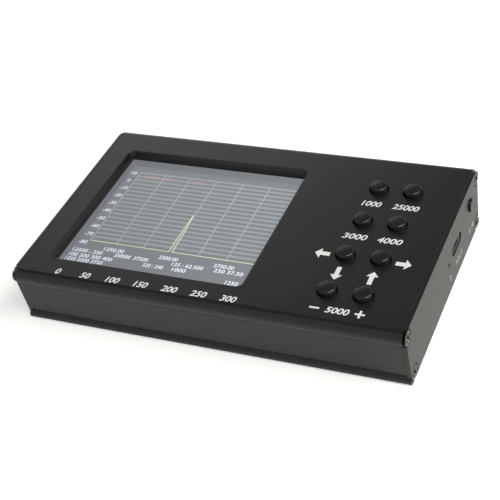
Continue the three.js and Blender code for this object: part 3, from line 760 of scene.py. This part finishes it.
def make_object(name, mesh, material):
    data = bpy.data.meshes.new(name)
    mesh.to_mesh(data)
    mesh.free()
    data.materials.append(material)
    shade(data)
    return new_object(name, data)


def evaluated_mesh(piece):
    """A mesh of its own from the piece's text or from its modifiers."""
    bpy.context.view_layer.update()
    graph = bpy.context.evaluated_depsgraph_get()
    return bpy.data.meshes.new_from_object(piece.evaluated_get(graph))


def combine(target, meshes, operation="DIFFERENCE"):
    """Cuts the meshes out of the object, or joins or intersects them with it, for good."""
    tool = make_object("tool", joined(meshes), target.data.materials[0])
    modifier = target.modifiers.new("combine", "BOOLEAN")
    modifier.operation = operation
    modifier.solver = "EXACT"
    modifier.object = tool
    data = evaluated_mesh(target)
    target.modifiers.clear()
    old_data = target.data
    target.data = data
    bpy.data.meshes.remove(old_data)
    bpy.data.objects.remove(tool)
    shade(data)


def dress(piece, node, *others):
    """The piece stands for these nodes, on their body and with their finish."""
    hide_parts(node, *others)
    finish_piece(piece, NODE_BODIES[node])


def add_detail(piece, node):
    """The piece is a detail of its own on that node's body."""
    finish_piece(piece, NODE_BODIES[node])


def finish_piece(piece, body):
    """Large faces set the normals along their rounded rims, and the piece rides on its body."""
    modifier = piece.modifiers.new("even_shading", "WEIGHTED_NORMAL")
    modifier.keep_sharp = True
    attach(piece, body)


def node_object(name, mesh, node):
    return make_object(name, mesh, SLOT_MATERIALS[NODE_SLOTS[node]])


def stand_in(name, mesh, node, tools=(), operation="DIFFERENCE", place=None):
    """The whole piece for a node, combined with the tools and then put in its place."""
    piece = node_object(name, mesh, node)
    if tools:
        combine(piece, tools, operation)
    if place is not None:
        piece.data.transform(place)
    dress(piece, node)


# Case halves
def extrusion(outline):
    """A section drawn along the case, with a fine chamfer at both ends."""
    ends = [(-BODY_END, END_CHAMFER), (END_CHAMFER - BODY_END, 0), (BODY_END - END_CHAMFER, 0),
            (BODY_END, END_CHAMFER)]
    return loft([along_x(inset(outline, distance), x) for x, distance in ends])


def bead_outline():
    start = -math.acos((SKIRT_Y - BEAD_Y) / BEAD_RADIUS)
    return arc(BEAD_Y, BEAD_Z, BEAD_RADIUS, start, QUARTER, BEAD_STEPS)


def foot_outline():
    foot_y = HALF_WIDTH - FOOT_INSET - FOOT_RADIUS
    return arc(foot_y, FOOT_RADIUS, FOOT_RADIUS, -QUARTER, FOOT_CURL, FOOT_STEPS)


def wall_inner_y(z):
    share = (z - WALL_FOOT_HEIGHT) / (SEAM - WALL_FOOT_HEIGHT)
    return WALL_FOOT_Y + share * WALL_LEAN - WALL_THICKNESS


def rim_rings(outline, top, rim):
    """Rings of a cutter that widens into a rounded rim at the top; outline(widening) draws them."""
    rings = []
    for angle in rim_angles():
        widening = rim * (1 - math.cos(angle))
        rings.append(at_height(outline(widening), top - rim + rim * math.sin(angle)))
    rings.append(at_height(outline(rim), top + CUT_OVERRUN))
    return rings


def rim_cutter(outline, bottom, top, rim):
    return loft([at_height(outline(0), bottom), *rim_rings(outline, top, rim)])


def round_hole(radius):
    return lambda widening: circle(radius + widening)


def window_outline(widening):
    length = WINDOW_LENGTH + 2 * widening
    return rounded_rectangle(length, WINDOW_WIDTH + 2 * widening, WINDOW_CORNER + widening)


def window_cutter():
    """Straight at its foot, then a steep slope up to the rounded rim."""
    foot = window_outline(-WINDOW_FOOT_REACH)
    slope_top = WINDOW_SLOPE - WINDOW_FOOT_REACH
    rim = rim_rings(lambda widening: window_outline(slope_top + widening), TOP, WINDOW_RIM)
    slope_foot = TOP - WINDOW_RIM - WINDOW_SLOPE_HEIGHT
    return loft([*stacked((foot, UNDERSIDE - CUT_OVERRUN), (foot, slope_foot)), *rim])


def screw_channel(y, z):
    """A channel along the case for the end screws."""
    radius = SCREW_RADIUS + SCREW_GAP
    reach = BODY_END + CUT_OVERRUN
    return moved(placed(turned([(radius, -reach), (radius, reach)]), TO_RIGHT), 0, y, z)


def make_cover():
    skirt_inner_y = SKIRT_Y - WALL_THICKNESS
    boss_start = -math.acos((skirt_inner_y - BEAD_Y) / BEAD_RADIUS)
    boss_end = -TURN / 2 - math.asin((UNDERSIDE - BEAD_Z) / BEAD_RADIUS)
    boss = arc(BEAD_Y, BEAD_Z, BEAD_RADIUS, boss_start, boss_end, BEAD_STEPS)
    outer = [(skirt_inner_y, SEAM), (SKIRT_Y, SEAM), *bead_outline()]
    inner = [*mirrored(boss[::-1]), *boss[::-1]]
    cutters = [moved(window_cutter(), WINDOW_X, WINDOW_Y), screw_channel(BEAD_Y, BEAD_Z),
               screw_channel(-BEAD_Y, BEAD_Z)]
    for number in range(1, CAP_COUNT + 1):
        place = node_middle(f"key_cap_{number}")
        hole = rim_cutter(round_hole(KEY_HOLE_RADIUS), UNDERSIDE - CUT_OVERRUN, TOP, KEY_HOLE_RIM)
        cutters.append(moved(hole, place.x, place.y))
    stand_in("cover_shell", extrusion([*outer, *mirrored(outer), *inner]), "top_cover", cutters)


def make_tray():
    slot_top = board_high.z + BOARD_SLOT_GAP
    rib_top = slot_top + RIB_THICKNESS
    rib_foot = board_low.z - RIB_THICKNESS
    rib_y = wall_inner_y(board_low.z) - RIB_DEPTH
    boss_y = HALF_WIDTH - TRAY_BOSS_INSET
    outer = [*foot_outline(), (HALF_WIDTH - GROOVE_INSET, GROOVE_HEIGHT),
             (WALL_FOOT_Y, WALL_FOOT_HEIGHT), (SKIRT_Y, SEAM)]
    inner = [
        (wall_inner_y(SEAM), SEAM),
        (wall_inner_y(rib_top), rib_top),
        (rib_y, rib_top),
        (rib_y, slot_top),
        (wall_inner_y(slot_top), slot_top),
        (wall_inner_y(board_low.z), board_low.z),
        (rib_y, board_low.z),
        (rib_y, rib_foot),
        (wall_inner_y(rib_foot), rib_foot),
        (wall_inner_y(TRAY_BOSS_HEIGHT), TRAY_BOSS_HEIGHT),
        (boss_y + TRAY_BOSS_CHAMFER, TRAY_BOSS_HEIGHT),
        (boss_y, TRAY_BOSS_HEIGHT - TRAY_BOSS_CHAMFER),
        (boss_y, FLOOR_THICKNESS),
    ]
    outline = [*outer, *inner, *mirrored(inner), *mirrored(outer)]
    channels = [screw_channel(side * LOWER_SCREW_Y, LOWER_SCREW_HEIGHT) for side in (-1, 1)]
    stand_in("tray_shell", extrusion(outline), "bottom_tray", channels)


# End plates, drawn with Y to the right, Z up and their outer face at height 0
def plate_outline():
    right = [*foot_outline(), (WALL_FOOT_Y, WALL_FOOT_HEIGHT), (SKIRT_Y, SEAM), *bead_outline()]
    return [*right, *mirrored(right)]


def countersink():
    head = SCREW_HEAD_RADIUS + SCREW_SEAT_GAP
    shank = SCREW_RADIUS + SCREW_GAP
    return turned([(shank, -CUT_OVERRUN - SCREW_SEAT_DEPTH), (shank, -SCREW_SEAT_DEPTH),
                   (head, -SCREW_SEAT_WALL), (head, CUT_OVERRUN)])


def plate_hole(outline, node, mirror=1):
    """A hole at the node's place, mirrored on the left plate."""
    middle = node_middle(node)
    return moved(rim_cutter(outline, PLATE_BACK - CUT_OVERRUN, 0, HOLE_RIM), mirror * middle.y, middle.z)


def make_plate(name, node, end, holes):
    blank = rounded_plate(plate_outline(), PLATE_BACK, 0, PLATE_EDGE)
    seats = [moved(countersink(), y, z) for y, z in SCREW_PLACES.values()]
    stand_in(name, blank, node, [*seats, *holes], place=end)


def make_plates():
    usb_low, usb_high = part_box("usb_shell")

    def usb_slot(widening):
        width = usb_high.y - usb_low.y + 2 * (USB_SLOT_END_GAP + widening)
        return racetrack(width, usb_high.z - usb_low.z + 2 * (USB_SLOT_GAP + widening))

    make_plate("right_plate", "right_end_plate", RIGHT_END, [
        plate_hole(usb_slot, "usb_shell"),
        plate_hole(round_hole(LAMP_HOLE_RADIUS), "charge_lamp"),
        plate_hole(round_hole(POWER_HOLE_RADIUS), "power_button"),
    ])
    make_plate("left_plate", "left_end_plate", LEFT_END, [
        plate_hole(round_hole(JACK_HOLE_RADIUS), node, -1) for node in ("rf_input_nut", "rf_output_nut")
    ])


# End screws, drawn upright with the head's flat rim at height 0
def screw_recess():
    foot = cross_outline(RECESS_WIDTH * RECESS_FOOT_SHARE, RECESS_LENGTH * RECESS_FOOT_SHARE)
    mouth = cross_outline(RECESS_WIDTH, RECESS_LENGTH)
    return loft(stacked((foot, -RECESS_DEPTH), (mouth, 0), (mouth, CUT_OVERRUN)))


def make_screws():
    low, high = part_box("end_screw_right_front_top")
    tip = SCREW_CROWN - (high.x - low.x)
    crown = domed(SCREW_HEAD_RADIUS - SCREW_HEAD_EDGE, 0, SCREW_CROWN)
    profile = [(0, tip), (SCREW_RADIUS - SCREW_TIP, tip), (SCREW_RADIUS, tip + SCREW_TIP),
               (SCREW_RADIUS, -SCREW_HEAD_HEIGHT), (SCREW_HEAD_RADIUS, -SCREW_HEAD_EDGE), *crown]
    pattern = node_object("screw", turned(profile), "end_screw_right_front_top")
    combine(pattern, [screw_recess()])
    for side, end, mirror in (("right", RIGHT_END, 1), ("left", LEFT_END, -1)):
        for share, (name, (y, z)) in zip(SCREW_TURN_SHARES, SCREW_PLACES.items()):
            data = pattern.data.copy()
            turn = Matrix.Rotation(mirror * share * TURN, 4, "Z")
            data.transform(end @ Matrix.Translation((mirror * y, z, 0)) @ turn)
            dress(new_object(f"screw_{side}_{name}", data), f"end_screw_{side}_{name}")
    bpy.data.objects.remove(pattern)


# Push buttons
def make_keys():
    flange_top = UNDERSIDE - CAP_FLANGE_GAP
    flange_foot = flange_top - CAP_FLANGE_THICKNESS
    for number in range(1, CAP_COUNT + 1):
        node = f"key_cap_{number}"
        low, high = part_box(node)
        flange_radius = (high.x - low.x) / 2
        shoulder = high.z - CAP_EDGE - CAP_CROWN
        face_radius = CAP_RADIUS - CAP_EDGE
        edge = arc(face_radius, shoulder, CAP_EDGE, 0, QUARTER, CAP_EDGE_STEPS)
        crown = domed(face_radius, high.z - CAP_CROWN, CAP_CROWN)[1:]
        profile = [(0, low.z), (CAP_STEM_RADIUS, low.z), (CAP_STEM_RADIUS, flange_foot),
                   (flange_radius, flange_foot), (flange_radius, flange_top),
                   (CAP_RADIUS, flange_top), *edge, *crown]
        middle = node_middle(node)
        stand_in(f"cap_{number}", moved(turned(profile), middle.x, middle.y), node)


def make_power_button():
    low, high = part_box("power_button")
    middle = node_middle("power_button")
    face = high.x - CASE_END
    flange_front = PLATE_BACK - POWER_FLANGE_GAP
    flange_back = flange_front - POWER_FLANGE_THICKNESS
    edge = arc(POWER_RADIUS - POWER_EDGE, face - POWER_EDGE, POWER_EDGE, 0, QUARTER, POWER_EDGE_STEPS)
    dish = domed(POWER_DISH_RADIUS, face, -POWER_DISH_DEPTH)
    profile = [(0, low.x - CASE_END), (POWER_STEM_RADIUS, low.x - CASE_END),
               (POWER_STEM_RADIUS, flange_back), (POWER_FLANGE_RADIUS, flange_back),
               (POWER_FLANGE_RADIUS, flange_front), (POWER_RADIUS, flange_front), *edge, *dish]
    stand_in("power_cap", on_right_end(turned(profile), middle.y, middle.z), "power_button")


# Charging socket and lamp
def make_usb_socket():
    low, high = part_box("usb_shell")
    middle = node_middle("usb_shell")
    back, mouth = low.x - CASE_END, high.x - CASE_END
    width, height = high.y - low.y, high.z - low.z
    outer = racetrack(width, height)
    inner = inset(outer, USB_WALL)
    shell = tube(stacked((outer, back), (outer, mouth - USB_LIP), (inset(outer, USB_LIP), mouth),
                         (inset(inner, -USB_LIP), mouth), (inner, mouth - USB_LIP), (inner, back)))
    place = RIGHT_END @ Matrix.Translation((middle.y, middle.z, 0))
    stand_in("socket_shell", placed(shell, place), "usb_shell")
    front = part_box("usb_tongue")[1].x - CASE_END
    margin = 2 * (USB_WALL + USB_BLOCK_GAP)
    make_usb_tongue(racetrack(width - margin, height - margin), back, front, place)
    make_usb_contacts(front, place)


def make_usb_tongue(block_outline, back, front, place):
    """A block at the shell's back, and the blade that stands out of it."""
    block = film(block_outline, back, USB_BLOCK_LENGTH)
    outline = rounded_rectangle(TONGUE_WIDTH, TONGUE_THICKNESS, TONGUE_EDGE)
    blade = rounded_slab(outline, back + USB_BLOCK_LENGTH / 2, front, TONGUE_EDGE)
    stand_in("socket_tongue", placed(block, place), "usb_tongue", [placed(blade, place)], "UNION")


def make_usb_contacts(front, place):
    """Rows of gold contacts on the blade's upper and lower face."""
    outline = rounded_rectangle(CONTACT_WIDTH, CONTACT_PROUD, CONTACT_EDGE, SMALL_CORNER_STEPS)
    contacts = []
    for side in (-1, 1):
        for number in range(CONTACT_COUNT):
            across = (number - (CONTACT_COUNT - 1) / 2) * CONTACT_PITCH
            up = side * (TONGUE_THICKNESS + CONTACT_PROUD) / 2
            bar = film(outline, front - CONTACT_SETBACK - CONTACT_LENGTH, CONTACT_LENGTH)
            contacts.append(placed(bar, place @ Matrix.Translation((across, up, 0))))
    pads = make_object("socket_contacts", joined(contacts), SLOT_MATERIALS["gold_plate"])
    add_detail(pads, "usb_tongue")


def make_lamp():
    low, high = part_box("charge_lamp")
    middle = node_middle("charge_lamp")
    outline = rounded_rectangle(high.y - low.y, high.z - low.z, LAMP_EDGE)
    lens = rounded_slab(outline, low.x - CASE_END, high.x - CASE_END, LAMP_EDGE)
    stand_in("lamp_lens", on_right_end(lens, middle.y, middle.z), "charge_lamp")


# Coaxial jacks, drawn upright with the end plate's outer face at height 0
def threaded_rings(start, end):
    """Rings up a barrel with a helical thread that fades at both ends."""
    count = round((end - start) / THREAD_PITCH * THREAD_STEPS)
    rings = []
    for step in range(count + 1):
        height = start + (end - start) * step / count
        fade = min(1, (height - start) / THREAD_PITCH, (end - height) / THREAD_PITCH)
        ring = []
        for x, y in circle(1):
            turns = height / THREAD_PITCH - math.atan2(y, x) / TURN
            groove = 1 - abs(2 * (turns % 1) - 1)
            share = max(0, groove - THREAD_CREST_SHARE) / (1 - THREAD_CREST_SHARE)
            radius = JACK_RADIUS - THREAD_DEPTH * fade * share
            ring.append(Vector((x * radius, y * radius, height)))
        rings.append(ring)
    return rings


def jack_barrel(mouth, nut_face):
    bore = circle(JACK_BORE_RADIUS)
    flange = rounded_rectangle(JACK_FLANGE_SIDE, JACK_FLANGE_SIDE, JACK_CHAMFER)
    foot = stacked((bore, JACK_ROOT), (flange, JACK_ROOT), (flange, PLATE_BACK),
                   (circle(JACK_SHOULDER_RADIUS), PLATE_BACK), (circle(JACK_RADIUS), PLATE_BACK))
    lip = stacked((circle(JACK_RADIUS - JACK_CHAMFER), mouth),
                  (circle(JACK_BORE_RADIUS + JACK_CHAMFER), mouth), (bore, mouth - JACK_CHAMFER))
    return tube([*foot, *threaded_rings(nut_face, mouth - JACK_CHAMFER), *lip])


def jack_legs(reach):
    """Four solder legs that hold the board's edge between them."""
    side = (JACK_FLANGE_SIDE - JACK_LEG_SIDE) / 2
    square = rounded_rectangle(JACK_LEG_SIDE, JACK_LEG_SIDE, JACK_LEG_EDGE, SMALL_CORNER_STEPS)
    upper = JACK_LEG_SIDE / 2 - CORE_PIN_RADIUS
    lower = board_low.z - board_high.z - CORE_PIN_RADIUS - JACK_LEG_SIDE / 2
    length = JACK_ROOT + JACK_FLANGE_THICKNESS / 2 - reach
    return [moved(film(square, reach, length), across, up)
            for across in (-side, side) for up in (upper, lower)]


def make_nut(name, node, place):
    low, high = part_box(node)
    thickness = high.x - low.x
    corner = NUT_ACROSS_FLATS / 2 / math.cos(TURN / NUT_SIDES / 2)
    face = NUT_ACROSS_FLATS / 2 * NUT_FACE_SHARE
    slope = (corner - face) * math.tan(NUT_CHAMFER_ANGLE)
    nut = node_object(name, film(circle(corner, NUT_SIDES), 0, thickness), node)
    body = turned([(face, 0), (corner, slope), (corner, thickness - slope), (face, thickness)])
    combine(nut, [body], "INTERSECT")
    combine(nut, [turned([(NUT_HOLE_RADIUS, -CUT_OVERRUN), (NUT_HOLE_RADIUS, thickness + CUT_OVERRUN)])])
    nut.data.transform(place)
    dress(nut, node)


def make_core(name, node, place):
    """The white insulator with its pin, and the gold contact in its face."""
    low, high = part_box(node)
    face, tip = -CASE_END - low.x, -CASE_END - high.x
    root = tip + CORE_PIN_LENGTH
    pit = face - COLLET_DEPTH
    radius = JACK_BORE_RADIUS - CORE_GAP
    core = turned([(0, tip), (CORE_PIN_RADIUS, tip), (CORE_PIN_RADIUS, root), (radius, root),
                   (radius, face), (COLLET_RADIUS, face), (COLLET_RADIUS, pit), (0, pit)])
    stand_in(f"{name}_core", placed(core, place), node)
    top = face + COLLET_PROUD
    section = [(COLLET_BORE_RADIUS, pit), (COLLET_RADIUS, pit), (COLLET_RADIUS, top - COLLET_EDGE),
               (COLLET_RADIUS - COLLET_EDGE, top), (COLLET_BORE_RADIUS + COLLET_EDGE, top),
               (COLLET_BORE_RADIUS, top - COLLET_EDGE)]
    collet = make_object(f"{name}_contact", tube(turned_rings(section)), SLOT_MATERIALS["gold_plate"])
    slit = cross_outline(COLLET_SLIT_WIDTH, COLLET_SLIT_LENGTH)
    combine(collet, [film(slit, top - COLLET_SLIT_DEPTH, COLLET_SLIT_DEPTH + CUT_OVERRUN)])
    collet.data.transform(place)
    add_detail(collet, node)


def make_jacks():
    for name in ("rf_input", "rf_output"):
        jack_low, jack_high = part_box(f"{name}_jack")
        nut_face = -CASE_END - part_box(f"{name}_nut")[0].x
        nut = node_middle(f"{name}_nut")
        place = LEFT_END @ Matrix.Translation((-nut.y, nut.z, 0))
        barrel = jack_barrel(-CASE_END - jack_low.x, nut_face)
        legs = jack_legs(-CASE_END - jack_high.x)
        stand_in(f"{name}_barrel", barrel, f"{name}_jack", legs, "UNION", place)
        make_nut(f"{name}_hex_nut", f"{name}_nut", place)
        make_core(name, f"{name}_core", place)


# Display
def make_display_panel():
    low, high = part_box("display_glass")
    outline = rounded_rectangle(high.x - low.x, high.y - low.y, DISPLAY_EDGE)
    panel = moved(rounded_slab(outline, low.z, high.z, DISPLAY_EDGE), WINDOW_X, WINDOW_Y)
    stand_in("display_panel", panel, "display_glass")


def make_gasket():
    low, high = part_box("display_gasket")
    outer = rounded_rectangle(high.x - low.x, high.y - low.y, GASKET_EDGE)
    inner = rounded_rectangle(WINDOW_LENGTH - 2 * GASKET_REACH, WINDOW_WIDTH - 2 * GASKET_REACH,
                              GASKET_CORNER)
    widened = inset(inner, -GASKET_EDGE)
    ring = tube(stacked((outer, low.z), (outer, high.z), (widened, high.z), (inner, high.z - GASKET_EDGE),
                        (inner, low.z + GASKET_EDGE), (widened, low.z)))
    stand_in("gasket_ring", moved(ring, WINDOW_X, WINDOW_Y), "display_gasket")


# Text, as solid characters whose middle is at the origin
def text_mesh(text, height, thickness, slant=0.0, weight=0.0, width=None):
    curve = bpy.data.curves.new("text", "FONT")
    curve.body = text
    curve.shear = slant
    curve.offset = weight
    curve.extrude = TEXT_HALF_DEPTH
    holder = new_object("text", curve)
    data = evaluated_mesh(holder)
    mesh = bmesh.new()
    mesh.from_mesh(data)
    bpy.data.objects.remove(holder)
    bpy.data.meshes.remove(data)
    bmesh.ops.remove_doubles(mesh, verts=mesh.verts, dist=TEXT_SAME_SPOT)
    xs = [vertex.co.x for vertex in mesh.verts]
    ys = [vertex.co.y for vertex in mesh.verts]
    scale = height / (max(ys) - min(ys))
    stretch = width / (max(xs) - min(xs)) if width else scale
    middle = Vector(((min(xs) + max(xs)) / 2, (min(ys) + max(ys)) / 2, -TEXT_HALF_DEPTH))
    size = Matrix.Diagonal((stretch, scale, thickness, 1))
    return placed(mesh, size @ Matrix.Translation(-middle))


def add_film(name, meshes, material):
    piece = make_object(name, joined(meshes), material)
    add_detail(piece, "display_glass")


def face_lines(ends, width, thickness):
    """Films along straight lines on the display's face."""
    foot = DISPLAY_FACE - FILM_SINK
    return [film(strip(start, end, width), foot, thickness) for start, end in ends]


def digit_group(text, x, y, width, thickness=FILM, weight=DIGIT_WEIGHT):
    label = text_mesh(text, DIGIT_HEIGHT, thickness, weight=weight, width=width)
    return moved(label, x, y, DISPLAY_FACE - FILM_SINK)


def make_picture():
    right = GRID_LEFT + GRID_COLUMNS * GRID_PITCH
    heights = [GRID_BASE + (GRID_TOP - GRID_BASE) * number / GRID_ROWS
               for number in range(1, GRID_ROWS + 1)]
    rows = [((GRID_LEFT, y), (right, y)) for y in heights]
    add_film("picture_rows", face_lines(rows, ROW_BAND, FILM), ROW_INK)
    places = [GRID_LEFT + number * GRID_PITCH for number in range(GRID_COLUMNS + 1)]
    columns = [((x, GRID_BASE), (x, GRID_TOP)) for x in places]
    add_film("picture_columns", face_lines(columns, COLUMN_LINE, COLUMN_FILM), COLUMN_INK)
    route = [(GRID_LEFT, GRID_BASE), *PEAK, (right, GRID_BASE)]
    add_film("picture_trace", face_lines(zip(route, route[1:]), TRACE_LINE, TOP_FILM), TRACE_INK)
    digits = [digit_group(text, SCALE_X, SCALE_TOP - number * SCALE_PITCH, WIDTHS_BY_LENGTH[len(text)])
              for number, text in enumerate(SCALE_NUMBERS)]
    digits += [digit_group(text, x * MM, y, width * MM)
               for y, groups in zip(NUMBER_ROWS, ROW_NUMBERS) for text, x, width in groups]
    add_film("picture_numbers", digits, DIGIT_INK)
    reds = [digit_group(text, x * MM, RED_ROW, width * MM, TOP_FILM, 0) for text, x, width in RED_NUMBERS]
    add_film("picture_red_numbers", reds, RED_INK)


# Print
def arrow_outline(length, head_length, head_width, shaft_width):
    """An arrow that points along +X, about its middle."""
    tip, tail = length / 2, -length / 2
    neck = tip - head_length
    shaft, head = shaft_width / 2, head_width / 2
    return [(tail, -shaft), (neck, -shaft), (neck, -head), (tip, 0), (neck, head), (neck, shaft),
            (tail, shaft)]


def on_cover(mesh, x, y, turn=0.0):
    return moved(placed(mesh, Matrix.Rotation(turn, 4, "Z")), x, y, TOP - PRINT_SINK)


def cover_arrows():
    """Arrows to the left and right of the third pair of keys, and upright ones below it."""
    left, right = node_middle("key_cap_5"), node_middle("key_cap_6")
    low_left, low_right = node_middle("key_cap_7"), node_middle("key_cap_8")
    side_y = left.y - ARROW_SIDE_DROP
    rise_y = low_left.y + ARROW_RISE
    arrows = [(SIDE_ARROW, left.x - ARROW_SIDE_REACH, side_y, TURN / 2),
              (SIDE_ARROW, right.x + ARROW_SIDE_REACH, side_y, 0),
              (UPRIGHT_ARROW, low_left.x + ARROW_SHIFT, rise_y, -QUARTER),
              (UPRIGHT_ARROW, low_right.x - ARROW_SHIFT, rise_y, QUARTER)]
    return [on_cover(film(arrow_outline(*sizes), 0, PRINT_FILM), x, y, turn)
            for sizes, x, y, turn in arrows]


def cover_signs():
    """Minus and plus under the lowest keys."""
    left, right = node_middle("key_cap_7"), node_middle("key_cap_8")
    minus = film(strip((-SIGN_LENGTH / 2, 0), (SIGN_LENGTH / 2, 0), SIGN_WIDTH), 0, PRINT_FILM)
    plus = film(cross_outline(SIGN_WIDTH, SIGN_LENGTH), 0, PRINT_FILM)
    return [on_cover(minus, left.x + MINUS_SHIFT, left.y - SIGN_DROP),
            on_cover(plus, right.x + PLUS_SHIFT, left.y - SIGN_DROP)]


def cover_numbers():
    """Numbers under the upper keys, between the signs and along the front edge."""
    numbers = []
    for number, (text, width) in enumerate(KEY_NUMBERS, 1):
        key = node_middle(f"key_cap_{number}")
        numbers.append((text, width * MM, key.x, key.y - KEY_NUMBER_DROP))
    text, width, x = MIDDLE_NUMBER
    numbers.append((text, width * MM, x * MM, node_middle("key_cap_7").y - SIGN_DROP))
    for number, text in enumerate(SCALE_PRINT):
        numbers.append((text, None, GRID_LEFT + number * GRID_PITCH, SCALE_PRINT_Y))
    return [on_cover(text_mesh(text, PRINT_HEIGHT, PRINT_FILM, PRINT_SLANT, PRINT_WEIGHT, width), x, y)
            for text, width, x, y in numbers]


def plate_numbers():
    """Numbers beside the power button, the socket and the lamp."""
    numbers = []
    for text, y, z, width in PLATE_NUMBERS:
        label = text_mesh(text, PLATE_NUMBER_HEIGHT, PRINT_FILM, width=width * MM)
        numbers.append(on_right_end(label, y * MM, z * MM, -PRINT_SINK))
    return numbers


def make_print():
    cover = [*cover_arrows(), *cover_signs(), *cover_numbers()]
    for name, meshes, node in (("cover_print", cover, "top_cover"),
                               ("plate_print", plate_numbers(), "right_end_plate")):
        add_detail(make_object(name, joined(meshes), WHITE_PRINT), node)


make_camera()
make_cover()
make_tray()
make_plates()
make_screws()
make_keys()
make_power_button()
make_usb_socket()
make_lamp()
make_jacks()
make_display_panel()
make_gasket()
make_picture()
make_print()

for name, node in frame["nodes"].items():
    node.data.materials.clear()
    node.data.materials.append(SLOT_MATERIALS[NODE_SLOTS[name]])


# Floor: its colour and its light, seen or mirrored, change between a near and a far distance; the darker
# colour and weaker mirrored light far away are painted shade, a painted falloff of light away from the
# case
FLOOR_REACH = 3
FLOOR_DEPTH = 20 * MM
FLOOR_DISTANCES = (0.12, 0.4)
FLOOR_PAINTED_FALLOFF_COLORS = ((0.68, 0.68, 0.64), (0.3, 0.3, 0.28))
FLOOR_ROUGHNESS = 0.9
FLOOR_GLOW_SEEN = (0.55, 0.8)
FLOOR_GLOW_MIRRORED = (0.13, 0.05)


def make_floor():
    """A pale floor with painted shade that darkens it away from the object, except to the camera."""
    material, tree, shader = new_material("floor")
    distance = calculated(tree, "LENGTH", coordinates(tree), kind="VectorMath")

    def by_distance(near, far):
        return ranged(tree, distance, *FLOOR_DISTANCES, near, far)

    seen = raised(tree, 0, by_distance(*FLOOR_GLOW_SEEN), ["Is Camera Ray"])
    # painted shade: the light that mirrored rays see grows weaker away from the case
    glow = raised(tree, seen, by_distance(*FLOOR_GLOW_MIRRORED), MIRRORED_RAYS)
    feed(tree, shader, {
        # painted shade: the floor's colour darkens away from the case
        "Base Color": blend_colors(tree, by_distance(0, 1), *FLOOR_PAINTED_FALLOFF_COLORS),
        "Roughness": FLOOR_ROUGHNESS,
        "Specular IOR Level": 0,
        "Emission Color": WHITE,
        "Emission Strength": glow,
    })
    square = [(x * FLOOR_REACH, y * FLOOR_REACH) for x, y in CORNERS]
    make_object("floor", film(square, -FLOOR_DEPTH, FLOOR_DEPTH), material)


# Room, dimming upwards between two angles in degrees, with soft fields: middle, reach in degrees, level
SKY_LOW = 0.42
SKY_MIRRORED_RISE = 0.15
SKY_HIGH = 0.06
SKY_FALL = (6, 34)
SOFT_FIELDS = [((-0.515, 0.765, 0.39), 20, 1.0), ((-0.39, -0.55, 0.74), 45, 0.35)]


def make_world():
    """A white backdrop to the camera, and to other rays a room that mirrored rays see paler low down."""
    world = bpy.data.worlds.new("studio")
    world.use_nodes = True
    tree = world.node_tree
    direction = coordinates(tree, "Generated")
    low = raised(tree, SKY_LOW, SKY_MIRRORED_RISE, MIRRORED_RAYS)
    start, end = [math.sin(math.radians(angle)) for angle in SKY_FALL]
    room = ranged(tree, along_axis(tree, direction, "Z"), start, end, low, SKY_HIGH)
    for middle, reach, level in SOFT_FIELDS:
        middle = Vector(middle).normalized()
        nearness = calculated(tree, "DOT_PRODUCT", direction, middle, kind="VectorMath")
        field = ranged(tree, nearness, math.cos(math.radians(reach)), 1)
        room = calculated(tree, "MULTIPLY_ADD", field, level, room)
    strength = calculated(tree, "MAXIMUM", seen_by(tree, "Is Camera Ray"), room)
    feed(tree, tree.nodes["Background"], {"Color": WHITE, "Strength": strength})
    bpy.context.scene.world = world


# Softbox over the case: its direction from the middle, the way that its long side runs, and its power
KEY_LAMP_MIDDLE = (0.576, -0.06, 0.815)
KEY_LAMP_RUN = (-0.484, -0.98, 0.274)
KEY_LAMP_DISTANCE = 1.2
KEY_LAMP_SIZE = (1.2, 0.2)
KEY_LAMP_POWER = 15


def make_key_lamp():
    data = bpy.data.lights.new("key_lamp", "AREA")
    data.shape = "RECTANGLE"
    data.size, data.size_y = KEY_LAMP_SIZE
    data.energy = KEY_LAMP_POWER
    lamp = new_object("key_lamp", data)
    toward = Vector(KEY_LAMP_MIDDLE).normalized()
    along = Vector(KEY_LAMP_RUN)
    along = (along - toward * along.dot(toward)).normalized()
    lamp.matrix_world = standing(toward * KEY_LAMP_DISTANCE, along, toward.cross(along), toward)


make_floor()
make_world()
make_key_lamp()
bpy.context.scene.view_settings.view_transform = "Standard"
